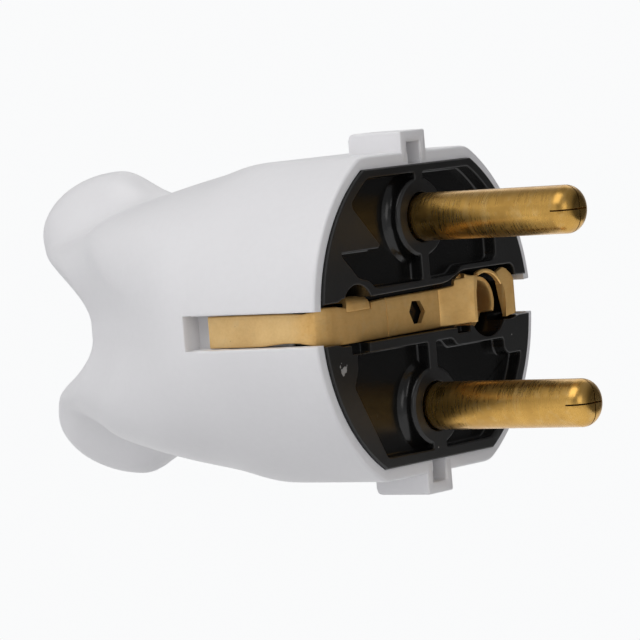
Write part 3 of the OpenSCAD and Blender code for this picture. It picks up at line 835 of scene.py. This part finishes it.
    def skin(self) -> bpy.types.Object:
        """The closed shell: outer skin, end, cord's way, wiring room and the carrier's seat."""
        front = self.face_proud + self.front_round
        a = np.radians(np.linspace(81, 0, 8))
        steps = self.front_round * np.column_stack([1 - np.sin(a), 1 - np.cos(a)])
        starts = [(self.face_proud + float(behind), float(inset)) for behind, inset in steps]
        along = front + (self.tail_end - front) * (1 - (1 - np.arange(1, 111) / 110) ** 1.3)
        slot_end = self.slot_reach + np.array([-0.05, -0.015, 0.0, 0.03, 0.1, 0.2])
        pocket_end = self.face_proud + self.lug_pocket_depth + np.array([0.0, 0.02])
        extra = np.concatenate([slot_end, pocket_end, [self.plate_t - 0.02, self.plate_t]])
        clear = abs(along[:, None] - extra[None]).min(1) > 0.04
        along = np.sort(np.concatenate([along[clear & (along < self.tail_end)], extra, [self.tail_end]]))
        rings = [self.outer_ring(u, inset) for u, inset in starts]
        rings += [self.outer_ring(float(u)) for u in along]
        rings += self.end_rings()
        hole, room = self.cord_hole_d / 2, self.plate_t + 0.02
        inside = [
            (self.way_at, hole, hole),
            (self.way_at - 0.8, hole + 0.1, hole + 0.1),
            (self.room_at, self.room_r - 0.4, self.room_z - 0.4),
            (self.room_at - 0.2, self.room_r, self.room_z),
            (room, self.room_r + 0.1, self.room_z + 0.1),
            (self.plate_t, self.room_r + 0.1, self.room_z + 0.1),
        ]
        rings += [self.inner_ring(*step) for step in inside]
        seats = [u for u, _ in starts] + [float(u) for u in along if u <= self.plate_t]
        rings += [self.seat_ring(u) for u in seats[::-1]] + [rings[0]]
        points = np.stack(rings)
        faces = grid_faces(len(rings), points.shape[1], True)
        middle = points.reshape(-1, 3)[faces].mean(1)
        open_way = (abs(middle[:, 2]) < self.slot_w / 2 - 0.045) & (middle[:, 0] > -self.plate_t + 0.001)
        open_way &= abs(middle[:, 1]) > self.barrel_d / 2 - self.slot_depth - 0.1
        return new_object("housing_shell", points, faces[~open_way])

    def lug(self, side: int) -> list:
        """A key lug: an inverted U round its pocket, and the solid part behind the pocket.

        Args:
            side: 1 for the upper lug, -1 for the lower one.

        Returns:
            The lug's two objects.
        """
        top, base = self.barrel_h / 2 + self.lug_h, self.seat_h / 2 + 0.1
        half, inner, ceiling = self.lug_w / 2, self.lug_w / 2 - self.lug_wall, top - self.lug_wall - 0.15
        rear = self.lug_rear

        def place(p: np.ndarray) -> np.ndarray:
            """Stand the outline up behind the face, and round the lug's upper rear edge."""
            past = np.clip(p[:, 2] - (self.lug_length - rear), 0, rear)
            limit = top - rear + np.sqrt(np.maximum(0, rear**2 - past**2))
            height = side * np.minimum(p[:, 1], limit)
            return np.column_stack([-(self.face_proud + p[:, 2]), p[:, 0], height])

        feet = [[-half, base], [-inner, base], [-inner, ceiling], [inner, ceiling], [inner, base]]
        over = [[half, base], [half, top], [-half, top]]
        arch = rounded_corners((feet + over)[::-1], self.lug_edge)
        block = rounded_corners([[-half, base]] + over, self.lug_edge)
        start = edge_steps(0.0, 1.0, 0.18)[:4]
        arch_steps = np.vstack([start, [[0, self.lug_pocket_depth + 0.2]]])
        rear_at = self.lug_length - rear * np.cos(np.linspace(0, math.pi / 2, 9))
        rear_steps = np.column_stack([np.zeros(9), rear_at])
        block_steps = np.vstack([[[0.02, self.lug_pocket_depth]], rear_steps])
        return [
            swept_prism(f"lug_arch_{'upper' if side > 0 else 'lower'}", arch[::-1], arch_steps, place),
            swept_prism(f"lug_block_{'upper' if side > 0 else 'lower'}", block, block_steps, place),
        ]

    def build(self, workshop: Workshop) -> None:
        """Make the housing's pieces and hand them over."""
        workshop.hand_over(self.skin(), "housing", WHITE)
        for side in (1, -1):
            for piece in self.lug(side):
                workshop.hand_over(piece, "housing", WHITE)


@dataclass
class Pin:
    """A turned brass pin with a rounded tip that is cut crosswise."""

    name: str
    node: str
    side: int
    pin_d: float = 4.8
    seat_d: float = 4.4
    reach: float = 19.0
    pitch: float = 19.0
    tip_round: float = 1.6
    slit_length: float = 1.9
    slit_width: float = 0.15
    slit_far: float = 1.2
    plate_t: float = 5.0
    flange_d: float = 5.6
    flange_t: float = 1.2
    end: float = 9.65

    def profile(self) -> np.ndarray:
        """The half outline as (x, radius), from the middle of the tip to the middle of the back."""
        r, t = self.pin_d / 2, self.tip_round
        a = np.linspace(0, math.pi / 2, 12)
        tip = np.column_stack([self.reach - t + t * np.cos(a), r - t + t * np.sin(a)])
        x = np.linspace(self.reach - t - 0.3, 0.36, 24)
        shank = np.column_stack([x, np.full(len(x), r)])
        seat = np.array([[0.3, r - 0.02], [0.28, self.seat_d / 2], [-self.plate_t, self.seat_d / 2]])
        back = -self.plate_t - self.flange_t
        flange = np.array([[-self.plate_t, self.flange_d / 2], [back, self.flange_d / 2]])
        spigot = np.array([[back, r - 0.8], [-self.end, r - 0.8], [-self.end, 0.0]])
        return np.vstack([[[self.reach, 0.0]], tip, shank, seat, flange, spigot])

    def build(self, workshop: Workshop) -> None:
        """Turn the profile round the pin's axis, cut the tip, and hand the pin over."""
        z0 = self.side * self.pitch / 2
        pin = turned_solid(self.name, self.profile(), z0)
        half, start, r = self.slit_width / 2, self.reach - self.slit_length, self.pin_d
        cut(pin, box_tool((start, self.reach + 3), (-half, half), (z0 - r, z0 + r)))
        cut(pin, box_tool((start, self.reach + 3), (-r, self.slit_far), (z0 - half, z0 + half)))
        pin.data.set_sharp_from_angle(angle=SHARP_ANGLE)
        soften(pin, 0.07, 50, 2)
        workshop.hand_over(pin, self.node, PIN_BRASS)


def arc(centre: tuple, radius: float, start: float, end: float, steps: int = 14) -> list:
    """Lay points on an arc.

    Args:
        centre: the arc's centre.
        radius: its radius.
        start: first angle in degrees.
        end: last angle in degrees.
        steps: number of points.

    Returns:
        A list of points, two numbers each.
    """
    a = np.radians(np.linspace(start, end, steps))
    return np.column_stack([centre[0] + radius * np.cos(a), centre[1] + radius * np.sin(a)]).tolist()


@dataclass
class Carrier:
    """The black moulding that fills the plug's face, with four pockets between ribs and collars.

    Its face plate is made anew, and what lies behind the plate is the CAD node's own shape.
    """

    seat_r: float = 17.35
    seat_z: float = 14.8
    plate_t: float = 5.0
    pitch: float = 19.0
    collar_r: float = 3.8
    bore_r: float = 2.5
    pocket_depth: float = 1.5
    channel_depth: float = 2.45
    recess_depth: float = 1.3
    outer_edge: float = 0.15
    tongue_hole: tuple = (-11.7, 1.27, 2.5)
    earth_hole: tuple = (10.1, -0.15, 3.4)

    def collar(self, side: int, start: float, end: float) -> list:
        """Points round a pin's collar between two angles; side 1 is the upper pin, -1 the lower."""
        return arc((0.0, side * self.pitch / 2), self.collar_r, start, end, 20)

    def pockets(self) -> list:
        """The four pockets' outlines (y, z): far top, near top, near bottom and far bottom."""
        rim = 16.35
        return [
            [(0.65, 3.2), (5.0, 3.3), (6.2, 4.1), (11.6, 4.1), (12.2, 4.7), (12.2, 8.2), (13.4, 9.3)]
            + arc((0, 0), rim, 36, 57.5) + [(8.4, 14.0), (0.65, 14.0)] + self.collar(1, 80.2, -80.2),
            [(-0.65, 3.2)] + self.collar(1, 260.2, 99.8)
            + [(-0.65, 14.0), (-8.4, 14.0)] + arc((0, 0), rim, 123, 134)
            + [(-11.3, 11.2), (-7.35, 7.35), (-7.6, 7.0), (-13.7, 7.0), (-13.6, 6.6)]
            + [(-12.3, 5.4), (-11.3, 4.4), (-9.4, 3.9), (-8.7, 3.2)],
            [(-0.65, -3.05), (-12.5, -3.05), (-12.5, -4.6), (-13.3, -6.2), (-8.8, -13.7),
            (-1.1, -13.75)]
            + self.collar(-1, 253, 99.8),
            [(0.65, -3.05), (3.5, -3.05), (4.3, -3.9), (12.4, -3.9), (12.4, -5.0), (13.0, -5.6)]
            + [(15.2, -5.6)]
            + arc((0, 0), rim, -22, -55) + [(8.9, -13.7), (1.1, -13.75)] + self.collar(-1, -73, 80.2),
        ]

    def channel(self) -> list:
        """The outline (y, z) of the channel that the earth strip lies in."""
        return [
            (-18.5, -1.8), (-15.5, -1.8), (-14.5, -2.1), (14.4, -2.1), (15.5, -1.8), (18.5, -1.8),
            (18.5, 2.25),
            (15.3, 2.3), (15.1, 3.2), (14.6, 3.56), (6.4, 3.6), (5.6, 3.45), (3.6, 2.7),
            (2.6, 2.57), (-9.0, 2.4),
            (-14.2, 2.6), (-14.85, 2.3), (-18.5, 2.25),
        ]

    @staticmethod
    def hollow(outline: list, depth: float, edge: float, foot: float, corner: float) -> bpy.types.Object:
        """A tool that sinks an outline into the face, with a rounded brim and a filleted floor.

        Args:
            outline: the outline's corners (y, z).
            depth: depth below the face.
            edge: radius of the rounded brim.
            foot: radius of the fillet at the floor.
            corner: how far the outline's corners are rounded back.

        Returns:
            The tool.
        """
        p = rounded_corners(outline, corner) if corner else np.array(outline, float)
        turn = np.roll(p, -1, 0)
        if (p[:, 0] * turn[:, 1] - p[:, 1] * turn[:, 0]).sum() < 0:
            p = p[::-1]
        a = np.linspace(0, math.pi / 2, 5)
        brim = np.column_stack([-edge + edge * np.sin(a), -edge + edge * np.cos(a)])
        floor = np.column_stack([foot - foot * np.cos(a), -depth + foot - foot * np.sin(a)])
        steps = np.vstack([[[-edge, 0.5]], brim, floor])
        return swept_prism("cutter", p, steps, lambda q: q[:, [2, 0, 1]])

    def plate(self) -> bpy.types.Object:
        """The face plate with its pockets, channel, bores and recesses."""
        corner = math.degrees(math.asin(self.seat_z / self.seat_r))
        far_side = arc((0, 0), self.seat_r, -corner, corner, 60)
        near_side = arc((0, 0), self.seat_r, 180 - corner, 180 + corner, 60)
        outline = np.array(far_side + near_side)
        steps = edge_steps(-self.plate_t, 0.0, self.outer_edge)
        plate = swept_prism("carrier_face", outline, steps, lambda q: q[:, [2, 0, 1]])
        for pocket, deeper in zip(self.pockets(), (0.0, 0.013, 0.021, 0.034)):
            cut(plate, self.hollow(pocket, self.pocket_depth + deeper, 0.16, 0.25, 0.4))
        cut(plate, self.hollow(self.channel(), self.channel_depth, 0.14, 0.15, 0.25))
        for side in (1, -1):
            bore = arc((0, side * self.pitch / 2), self.bore_r, 0, 354, 60)
            cut(plate, self.hollow(bore, 1.6, 0.12, 0.1, 0.0))
            gap = [(15.85 * side, -1.8), (18.5 * side, -1.8), (18.5 * side, 1.8), (15.85 * side, 1.8)]
            cut(plate, self.hollow(gap, self.plate_t + 0.5, 0.1, 0.05, 0.0))
        for (*centre, radius), brim in ((self.tongue_hole, 0.12), (self.earth_hole, 0.14)):
            cut(plate, self.hollow(arc(centre, radius, 0, 354, 60), self.plate_t + 0.5, brim, 0.1, 0.0))
        for y0, y1, z0, z1 in ((-13.3, -10.3, -3.0, -1.9), (4.5, 6.8, -2.7, -1.9)):
            recess = [(y0, z0), (y1, z0), (y1, z1), (y0, z1)]
            cut(plate, self.hollow(recess, self.recess_depth, 0.08, 0.1, 0.2))
        plate.data.set_sharp_from_angle(angle=math.radians(32))
        flat = plate.modifiers.new("flat_floors", "WEIGHTED_NORMAL")
        flat.weight = 100
        flat.keep_sharp = True
        return plate

    def skirt(self, side: int) -> bpy.types.Object:
        """The flared foot and rounded brim of a pin's collar; side 1 is up, -1 is down."""
        section = np.array([
            (-1.6, 3.1), (-1.6, 4.9), (-1.48, 4.75), (-1.32, 4.45), (-1.1, 4.22), (-0.8, 4.08),
            (-0.5, 4.02),
            (-0.3, 3.97), (-0.14, 3.85), (-0.05, 3.68), (-0.012, 3.45), (-0.012, 3.1),
        ])
        name = f"collar_{'upper' if side > 0 else 'lower'}"
        closed = np.vstack([section, section[:1]])
        return turned_solid(name, closed, side * self.pitch / 2)

    def build(self, workshop: Workshop) -> None:
        """Make the plate and collars, keep the CAD shape behind them, and hand all over."""
        core = workshop.rounded_copy("contact_carrier", "carrier_core", 0.14)
        apply_modifiers(core)
        cut(core, box_tool((-self.plate_t + 0.1, 1.0), (-30, 30), (-30, 30)))
        for piece in (self.plate(), self.skirt(1), self.skirt(-1), core):
            workshop.hand_over(piece, "contact_carrier", BLACK)


@dataclass
class EarthStrip:
    """The stamped strip across the face, whose legs turn back into the housing's slots.

    It is two lengths of sheet, each carried along a path seen from above, with a sheared outline.
    A torn lip round the earth hole joins them, and a tongue is bent back into the carrier.
    """

    thickness: float = 0.5
    far_thickness: float = 0.45
    hole_y: float = 10.0
    lip_r: tuple = (3.02, 3.38)
    near_path: tuple = (
        (-14.71, -17.14), (-10.9, -17.42), (-9.0, -17.5), (-4.93, -17.42), (-2.95, -17.38),
        (-2.71, -17.33),
        (-2.2, -17.24), (-1.8, -17.1), (-1.56, -16.9), (-1.4, -16.6), (-1.24, -16.17), (-1.1, -15.65),
        (-1.02, -14.87), (-1.05, -13.0), (-1.59, -5.16), (-1.8, -5.07), (-1.6, -4.99), (-1.6, 3.78),
        (-1.69, 3.9), (-1.56, 4.04), (-0.05, 8.1), (0.0, 8.6),
    )
    near_top: tuple = (
        (-14.71, -17.14, 1.55), (-10.91, -17.42, 1.58), (-4.93, -17.42, 1.56), (-2.71, -17.35, 1.51),
        (-1.6, -17.03, 1.74), (-1.24, -16.17, 1.95), (-1.0, -14.82, 1.9), (-1.03, -13.7, 1.81),
        (-1.04, -13.26, 1.72), (-1.1, -12.4, 1.6), (-1.1, -12.34, 1.21), (-1.41, -7.76, 1.2),
        (-1.43, -7.7, 1.76),
        (-1.46, -7.16, 1.81), (-1.6, -5.04, 1.9), (-1.55, 4.03, 1.96), (-0.98, 5.58, 2.09),
        (-0.92, 5.75, 2.21),
        (-0.92, 5.77, 2.57), (-0.9, 5.85, 2.72), (-0.48, 6.95, 2.79), (-0.46, 6.99, 3.21),
        (-0.28, 7.48, 2.97), (-0.06, 8.06, 2.91), (0.0, 8.6, 2.9),
    )
    near_bottom: tuple = (
        (-14.71, -17.14, -1.63), (-7.9, -17.5, -1.6), (-5.24, -17.43, -1.36), (-3.28, -17.37, -1.41),
        (-2.11, -17.18, -1.67), (-1.49, -16.97, -1.82), (-1.18, -15.99, -1.87), (-1.0, -14.87, -1.92),
        (-1.03, -13.6, -2.0), (-1.51, -6.34, -2.03), (-1.6, -4.94, -2.03), (-1.6, 3.88, -1.96),
        (0.0, 8.6, -1.86),
    )
    near_end: tuple = (
        (-1.9, -0.49), (-0.71, -0.46), (0.26, -0.49), (1.23, -0.39), (2.5, -0.08), (2.9, 0.0),
    )
    far_path: tuple = (
        (-0.3, 12.34), (-0.3, 15.1), (-0.38, 15.4), (-0.55, 15.65), (-0.85, 16.05), (-1.2, 16.4),
        (-1.7, 16.74),
        (-2.3, 17.0), (-3.5, 17.4), (-5.0, 17.5), (-9.0, 17.55), (-13.9, 17.4), (-14.9, 17.05),
    )
    far_top: tuple = (
        (-0.3, 12.34, 2.82), (-0.3, 13.3, 3.2), (-0.3, 13.54, 3.27), (-0.3, 13.8, 3.22),
        (-0.3, 14.2, 3.05),
        (-0.3, 14.82, 2.6), (-0.4, 15.33, 2.09), (-1.2, 16.4, 1.7), (-3.0, 17.2, 1.55),
        (-14.9, 17.05, 1.55),
    )
    far_bottom: tuple = (
        (-0.3, 12.34, -1.82), (-0.3, 13.52, -1.82), (-0.3, 15.1, -1.67), (-3.0, 17.2, -1.55),
        (-14.9, 17.05, -1.55),
    )
    far_start: tuple = (
        (-1.82, 1.18), (0.07, 1.33), (1.06, 1.24), (2.25, 0.49), (2.82, 0.0), (3.3, 0.0),
    )
    hexagon: tuple = (
        (-0.78, 1.16), (-1.34, 0.1), (-0.7, -1.16), (0.52, -1.19), (1.34, -0.06), (0.59, 1.07),
    )
    leaf: tuple = (
        (-3.2, 2.5), (-2.6, 2.42), (-1.5, 2.25), (-1.15, 2.24), (-1.06, 2.3), (-1.06, 2.6),
        (-1.15, 2.68),
        (-1.6, 2.72), (-2.6, 2.95), (-3.2, 3.02),
    )

    @staticmethod
    def sheet(
        name: str,
        path: tuple,
        top: tuple,
        bottom: tuple,
        thickness: float,
        ends: dict,
        edge: float = 0.16,
    ) -> bpy.types.Object:
        """Carry a sheet's cross-section along a path, between a top and a bottom outline.

        Args:
            name: the piece's name.
            path: the path's points (x, y) on the sheet's outer face, which is to the right of it.
            top: points (x, y, z) of the top outline.
            bottom: points (x, y, z) of the bottom outline.
            thickness: the sheet's thickness.
            ends: for "start" and "end", steps of (z, shift along y) of the cut edge there.
            edge: radius of the outer face's rounded edges.

        Returns:
            The new object.
        """
        line = np.array(path, float)
        run = np.concatenate([[0.0], np.cumsum(np.hypot(*np.diff(line, axis=0).T))])

        def carried(points: tuple) -> tuple:
            """Distances along the path of the places nearest to the points, and the points' heights."""
            p = np.array(points, float)
            a, d = line[:-1], np.diff(line, axis=0)
            t = ((p[:, None, :2] - a) * d).sum(2) / (d * d).sum(1)
            t = np.clip(t, 0, 1)
            gap = np.linalg.norm(a + t[..., None] * d - p[:, None, :2], axis=2)
            best = gap.argmin(1)
            at = run[best] + t[np.arange(len(p)), best] * np.diff(run)[best]
            return np.maximum.accumulate(at + 1e-4 * np.arange(len(p))), p[:, 2]

        top_at, top_z = carried(top)
        low_at, low_z = carried(bottom)
        steps = np.concatenate([np.linspace(0, run[-1], 90), run, top_at, low_at])
        steps = np.unique(np.round(steps[(steps >= 0) & (steps <= run[-1])], 3))
        keep = np.concatenate([[True], np.diff(steps) > 0.012])
        steps = steps[keep]
        x, y = np.interp(steps, run, line[:, 0]), np.interp(steps, run, line[:, 1])
        tangent = np.stack([np.gradient(x, steps), np.gradient(y, steps)], 1)
        tangent /= np.linalg.norm(tangent, axis=1)[:, None]
        out = np.stack([tangent[:, 1], -tangent[:, 0]], 1)
        z1, z0 = np.interp(steps, top_at, top_z), np.interp(steps, low_at, low_z)
        turn = np.linspace(0, math.pi / 2, 4)
        back = 0.08
        rows = np.linspace(0, 1, 9)[1:-1]
        rings = []
        for i in range(len(steps)):
            e = edge
            low, high = z0[i], z1[i]
            up = low + e + (high - low - 2 * e) * rows
            down = high - back - (high - low - 2 * back) * rows
            rise, fall = 1 - np.sin(turn), 1 - np.cos(turn)
            d = np.concatenate([
                e * rise, np.zeros(7), e * fall,
                thickness - back * rise, np.full(7, thickness), thickness - back * fall,
            ])
            z = np.concatenate([
                low + e * fall, up, high - e * rise,
                high - back * fall, down, low + back * rise,
            ])
            px, py = x[i] - out[i, 0] * d, y[i] - out[i, 1] * d
            for where, table in ends.items():
                gap = steps[i] if where == "start" else run[-1] - steps[i]
                share = max(0.0, 1 - gap / 1.5)
                py = py + share * np.interp(z, *np.array(table).T)
            rings.append(np.stack([px, py, z], 1))
        return closed_tube(name, np.stack(rings))

    def turned(self, name: str, section: tuple, start: float, end: float) -> bpy.types.Object:
        """Turn a closed section round the earth hole's axis.

        Args:
            name: the piece's name.
            section: the section's points (x, radius).
            start: first angle in degrees, from the y axis towards z.
            end: last angle in degrees.

        Returns:
            The new object.
        """
        a = np.radians(np.linspace(start, end, max(8, int(abs(end - start) / 3))))
        x, r = np.array(section, float).T
        rings = [np.stack([x, self.hole_y + r * math.cos(v), r * math.sin(v)], 1) for v in a]
        return closed_tube(name, np.stack(rings))

    def tongue(self) -> bpy.types.Object:
        """The tongue: up from the sheet, then bent back over a quarter round."""
        t, r, z1 = self.thickness, 0.75, 2.5
        a = np.radians(np.linspace(0, 90, 9))
        front = np.vstack([
            [[-0.25, 0.7], [-0.02, 1.15], [0.0, 1.25]],
            np.column_stack([-r * (1 - np.cos(a)), z1 - r + r * np.sin(a)]),
            [[-3.0, z1], [-7.6, z1 - 0.1]],
        ])
        a = a[::-1]
        inner = max(0.05, r - t)
        back = np.vstack([
            [[-7.6, z1 - t - 0.1], [-3.0, z1 - t]],
            np.column_stack([-t - inner + inner * np.cos(a), z1 - t - inner + inner * np.sin(a)]),
            [[-t, 1.25], [-t, 0.7]],
        ])
        loop = np.vstack([front, back])
        columns = np.array([0.0, 0.04, 0.14, 1.2, 2.2, 3.2, 4.05, 4.25, 4.35])
        inset = np.array([0.12, 0.04, 0.0, 0.0, 0.0, 0.0, 0.0, 0.04, 0.12])
        left = -12.24
        rings = []
        for c, i in zip(columns, inset):
            p = loop.copy()
            narrow = ease((p[:, 1] - 1.5) / 1.0)
            y = left + c + narrow * np.interp(c, [0, 4.35], [0.3, -0.55])
            x = -1.1 - 0.0714 * (y - left) + p[:, 0] - i * (p[:, 0] > -0.4)
            rings.append(np.stack([x, y, p[:, 1] - i * (p[:, 1] > 2.3)], 1))
        return closed_tube("strip_tongue", np.stack(rings))

    def build(self, workshop: Workshop) -> None:
        """Make the strip's pieces and the sleeve behind its hole, and hand them over."""
        near = self.sheet(
            "strip_near_sheet", self.near_path, self.near_top, self.near_bottom, self.thickness,
            {"end": self.near_end},
        )
        hexagon = np.array(self.hexagon)
        cutter = swept_prism(
            "cutter", hexagon[::-1], np.array([[0.0, 0.0], [0.0, 4.0]]),
            lambda p: np.column_stack([p[:, 2] - 3.5, p[:, 0], p[:, 1]]),
        )
        cut(near, cutter)
        near.data.set_sharp_from_angle(angle=SHARP_ANGLE)
        far = self.sheet(
            "strip_far_sheet", self.far_path, self.far_top, self.far_bottom, self.far_thickness,
            {"start": self.far_start}, 0.1,
        )
        low, high = self.lip_r
        lip = ((0.0, low + 0.08), (0.0, high - 0.1), (-0.1, high), (-0.5, high), (-0.5, low),
        (-0.08, low))
        ring = self.turned("strip_lip", lip, 114, 31)
        for piece in (near, far, ring, self.tongue()):
            workshop.hand_over(piece, "earth_strip", STRIP_BRASS)
        tube = ((-3.0, 2.5), (-3.1, 2.45), (-11.9, 2.45), (-11.9, 3.05), (-3.1, 3.05), (-3.0, 3.0))
        slit = 8.0
        leaf = self.turned("sleeve_leaf", self.leaf, -25, 95)
        for piece in (leaf, self.turned("sleeve_tube", tube, -90 + slit, 270 - slit)):
            workshop.hand_over(piece, "earth_socket_sleeve", STRIP_BRASS)


@dataclass
class Fittings:
    """What the housing hides: terminals, clamping plates, screws and the cord's clamp bar."""

    finishes: dict = field(
        default_factory=lambda: {
            "terminal_block_": BLOCK_BRASS,
            "clamp_plate_": BLOCK_BRASS,
            "terminal_screw_": STEEL,
            "closing_screw": STEEL,
            "cord_screw_": STEEL,
            "cord_clamp_bar": GRIP,
        }
    )

    def build(self, workshop: Workshop) -> None:
        """Give each hidden CAD node its finish."""
        for start, finish in self.finishes.items():
            for node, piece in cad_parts.items():
                if node.startswith(start):
                    workshop.dress(piece, finish)
                    log.info("%s keeps its CAD shape", node)


# Studio


@dataclass(frozen=True)
class PhotoView:
    """The camera, solved from the pins and outlines in the 640 x 640 photograph."""

    azimuth: float = 37.707
    elevation: float = 3.490
    roll: float = 4.763
    distance: float = 432.392
    focal_px: float = 4319.335
    origin_px: tuple = (430.057, 311.359)
    frame_px: float = 640.0
    sensor: float = 36.0

    def axes(self) -> np.ndarray:
        """The camera's right, up and back directions, one a row."""
        a, e, r = (math.radians(v) for v in (self.azimuth, self.elevation, self.roll))
        right = np.array([math.cos(a), math.sin(a), 0.0])
        back = np.array([math.sin(a) * math.cos(e), -math.cos(a) * math.cos(e), math.sin(e)])
        up = np.cross(back, right)
        return np.array(
            [math.cos(r) * right - math.sin(r) * up, math.sin(r) * right + math.cos(r) * up, back]
        )

    def place(self) -> None:
        """Make the camera that sees the origin at the photograph's pixel."""
        axes = self.axes()
        half = self.frame_px / 2
        shift_x = (self.origin_px[0] - half) * self.distance / self.focal_px
        shift_y = (half - self.origin_px[1]) * self.distance / self.focal_px
        centre = axes.T @ np.array([-shift_x, -shift_y, self.distance]) * MM
        data = bpy.data.cameras.new("photo_camera")
        data.sensor_width = self.sensor
        data.lens = self.focal_px / self.frame_px * self.sensor
        data.clip_start = 0.01
        camera = bpy.data.objects.new("photo_camera", data)
        bpy.context.collection.objects.link(camera)
        matrix = Matrix(np.column_stack([axes.T, centre]).tolist() + [[0, 0, 0, 1]])
        camera.matrix_world = matrix
        bpy.context.scene.camera = camera


@dataclass(frozen=True)
class Softbox:
    """A square lamp that looks at a point."""

    name: str
    place: tuple
    size: float
    power: float
    colour: tuple = (1.0, 1.0, 1.0)

    def hang(self, target: tuple = (-0.015, 0.0, 0.0)) -> None:
        """Make the lamp and turn it to the target."""
        data = bpy.data.lights.new(self.name, "AREA")
        data.shape, data.size, data.energy, data.color = "SQUARE", self.size, self.power, self.colour
        lamp = bpy.data.objects.new(self.name, data)
        bpy.context.collection.objects.link(lamp)
        back = np.array(self.place, float) - np.array(target, float)
        back /= np.linalg.norm(back)
        right = np.cross([0.0, 0.0, 1.0], back)
        right /= np.linalg.norm(right)
        up = np.cross(back, right)
        lamp.matrix_world = Matrix(
            np.column_stack([right, up, back, np.array(self.place, float)]).tolist() + [[0, 0, 0, 1]]
        )


@dataclass
class Studio:
    """A white floor and surround, a large key lamp in front above, and soft fill."""

    floor_z: float = -0.075
    floor_r: float = 0.28
    horizon: float = 0.7
    sky: float = 0.38
    dark_side: tuple = (0.59, 0.81, -0.06)
    dark_level: float = 0.12

    def world(self) -> None:
        """A plain world: white where it is seen, and elsewhere a soft light with one dark side.

        The dark side lies where the flat black face mirrors it to the camera.
        """
        world = bpy.data.worlds.new("studio")
        world.use_nodes = True
        tree = world.node_tree
        tree.nodes.clear()

        path = tree.nodes.new("ShaderNodeLightPath")
        seen = tree.nodes.new("ShaderNodeBackground")
        seen.inputs["Color"].default_value = (0.955, 0.96, 0.965, 1)
        way = tree.nodes.new("ShaderNodeTexCoord").outputs["Generated"]
        split = tree.nodes.new("ShaderNodeSeparateXYZ")
        tree.links.new(way, split.inputs[0])
        dot = tree.nodes.new("ShaderNodeVectorMath")
        dot.operation = "DOT_PRODUCT"
        dot.inputs[1].default_value = self.dark_side
        tree.links.new(way, dot.inputs[0])
        level = tree.nodes.new("ShaderNodeMath")
        level.operation = "MULTIPLY"
        ranges = (
            (split.outputs["Z"], (-0.1, 0.35, self.horizon, self.sky)),
            (dot.outputs["Value"], (0.6, 0.94, 1.0, self.dark_level)),
        )
        for index, (source, limits) in enumerate(ranges):
            band = tree.nodes.new("ShaderNodeMapRange")
            for number, value in enumerate(limits, 1):
                band.inputs[number].default_value = value
            tree.links.new(source, band.inputs[0])
            tree.links.new(band.outputs[0], level.inputs[index])
        soft = tree.nodes.new("ShaderNodeBackground")
        soft.inputs["Color"].default_value = (0.975, 0.98, 1.0, 1)
        tree.links.new(level.outputs[0], soft.inputs["Strength"])
        mix = tree.nodes.new("ShaderNodeMixShader")
        out = tree.nodes.new("ShaderNodeOutputWorld")
        tree.links.new(path.outputs["Is Camera Ray"], mix.inputs[0])
        tree.links.new(soft.outputs[0], mix.inputs[1])
        tree.links.new(seen.outputs[0], mix.inputs[2])
        tree.links.new(mix.outputs[0], out.inputs["Surface"])
        bpy.context.scene.world = world

    def floor(self) -> None:
        """A pale floor that shows white to the camera and keeps the shadow."""
        n = Nodes("studio_floor")
        n.shader.inputs["Base Color"].default_value = (0.66, 0.66, 0.665, 1)
        n.shader.inputs["Roughness"].default_value = 0.9
        n.shader.inputs["Emission Color"].default_value = (1, 1, 1, 1)
        path = n.add("ShaderNodeLightPath")
        seen = n.maths("MAXIMUM", path.outputs["Is Camera Ray"], path.outputs["Is Glossy Ray"])
        n.link(n.maths("MULTIPLY", seen, 0.6), n.shader, "Emission Strength")
        a = np.linspace(0, 2 * math.pi, 96, endpoint=False)
        r = self.floor_r / MM
        rim = np.column_stack([r * np.cos(a), r * np.sin(a), np.full(96, self.floor_z / MM)])
        floor = new_object("studio_floor", rim, [list(range(96))], tidy=False)
        floor.data.materials.append(n.material)

    def build(self) -> None:
        """Set up world, floor and lamps."""
        self.world()
        self.floor()
        Softbox("key_lamp", (-0.04, -0.30, 0.44), 0.45, 1.3, (1.0, 0.99, 0.975)).hang()
        Softbox("side_lamp", (-0.25, -0.5, 0.12), 0.5, 0.34, (0.98, 0.985, 1.0)).hang()
        Softbox("front_lamp", (0.5, -0.33, 0.16), 0.3, 0.45, (1.0, 0.99, 0.98)).hang()
        Softbox("rim_lamp", (-0.2, 0.45, 0.4), 0.4, 0.5).hang()


def main() -> None:
    """Build the plug piece by piece, then the studio round it."""
    view = bpy.context.scene.view_settings
    view.view_transform = "Standard"
    workshop = Workshop()
    Housing().build(workshop)
    Carrier().build(workshop)
    Pin("upper_pin", "pin_upper", 1).build(workshop)
    Pin("lower_pin", "pin_lower", -1).build(workshop)
    EarthStrip().build(workshop)
    Fittings().build(workshop)
    PhotoView().place()
    Studio().build()


if __name__ == "__main__":
    main()
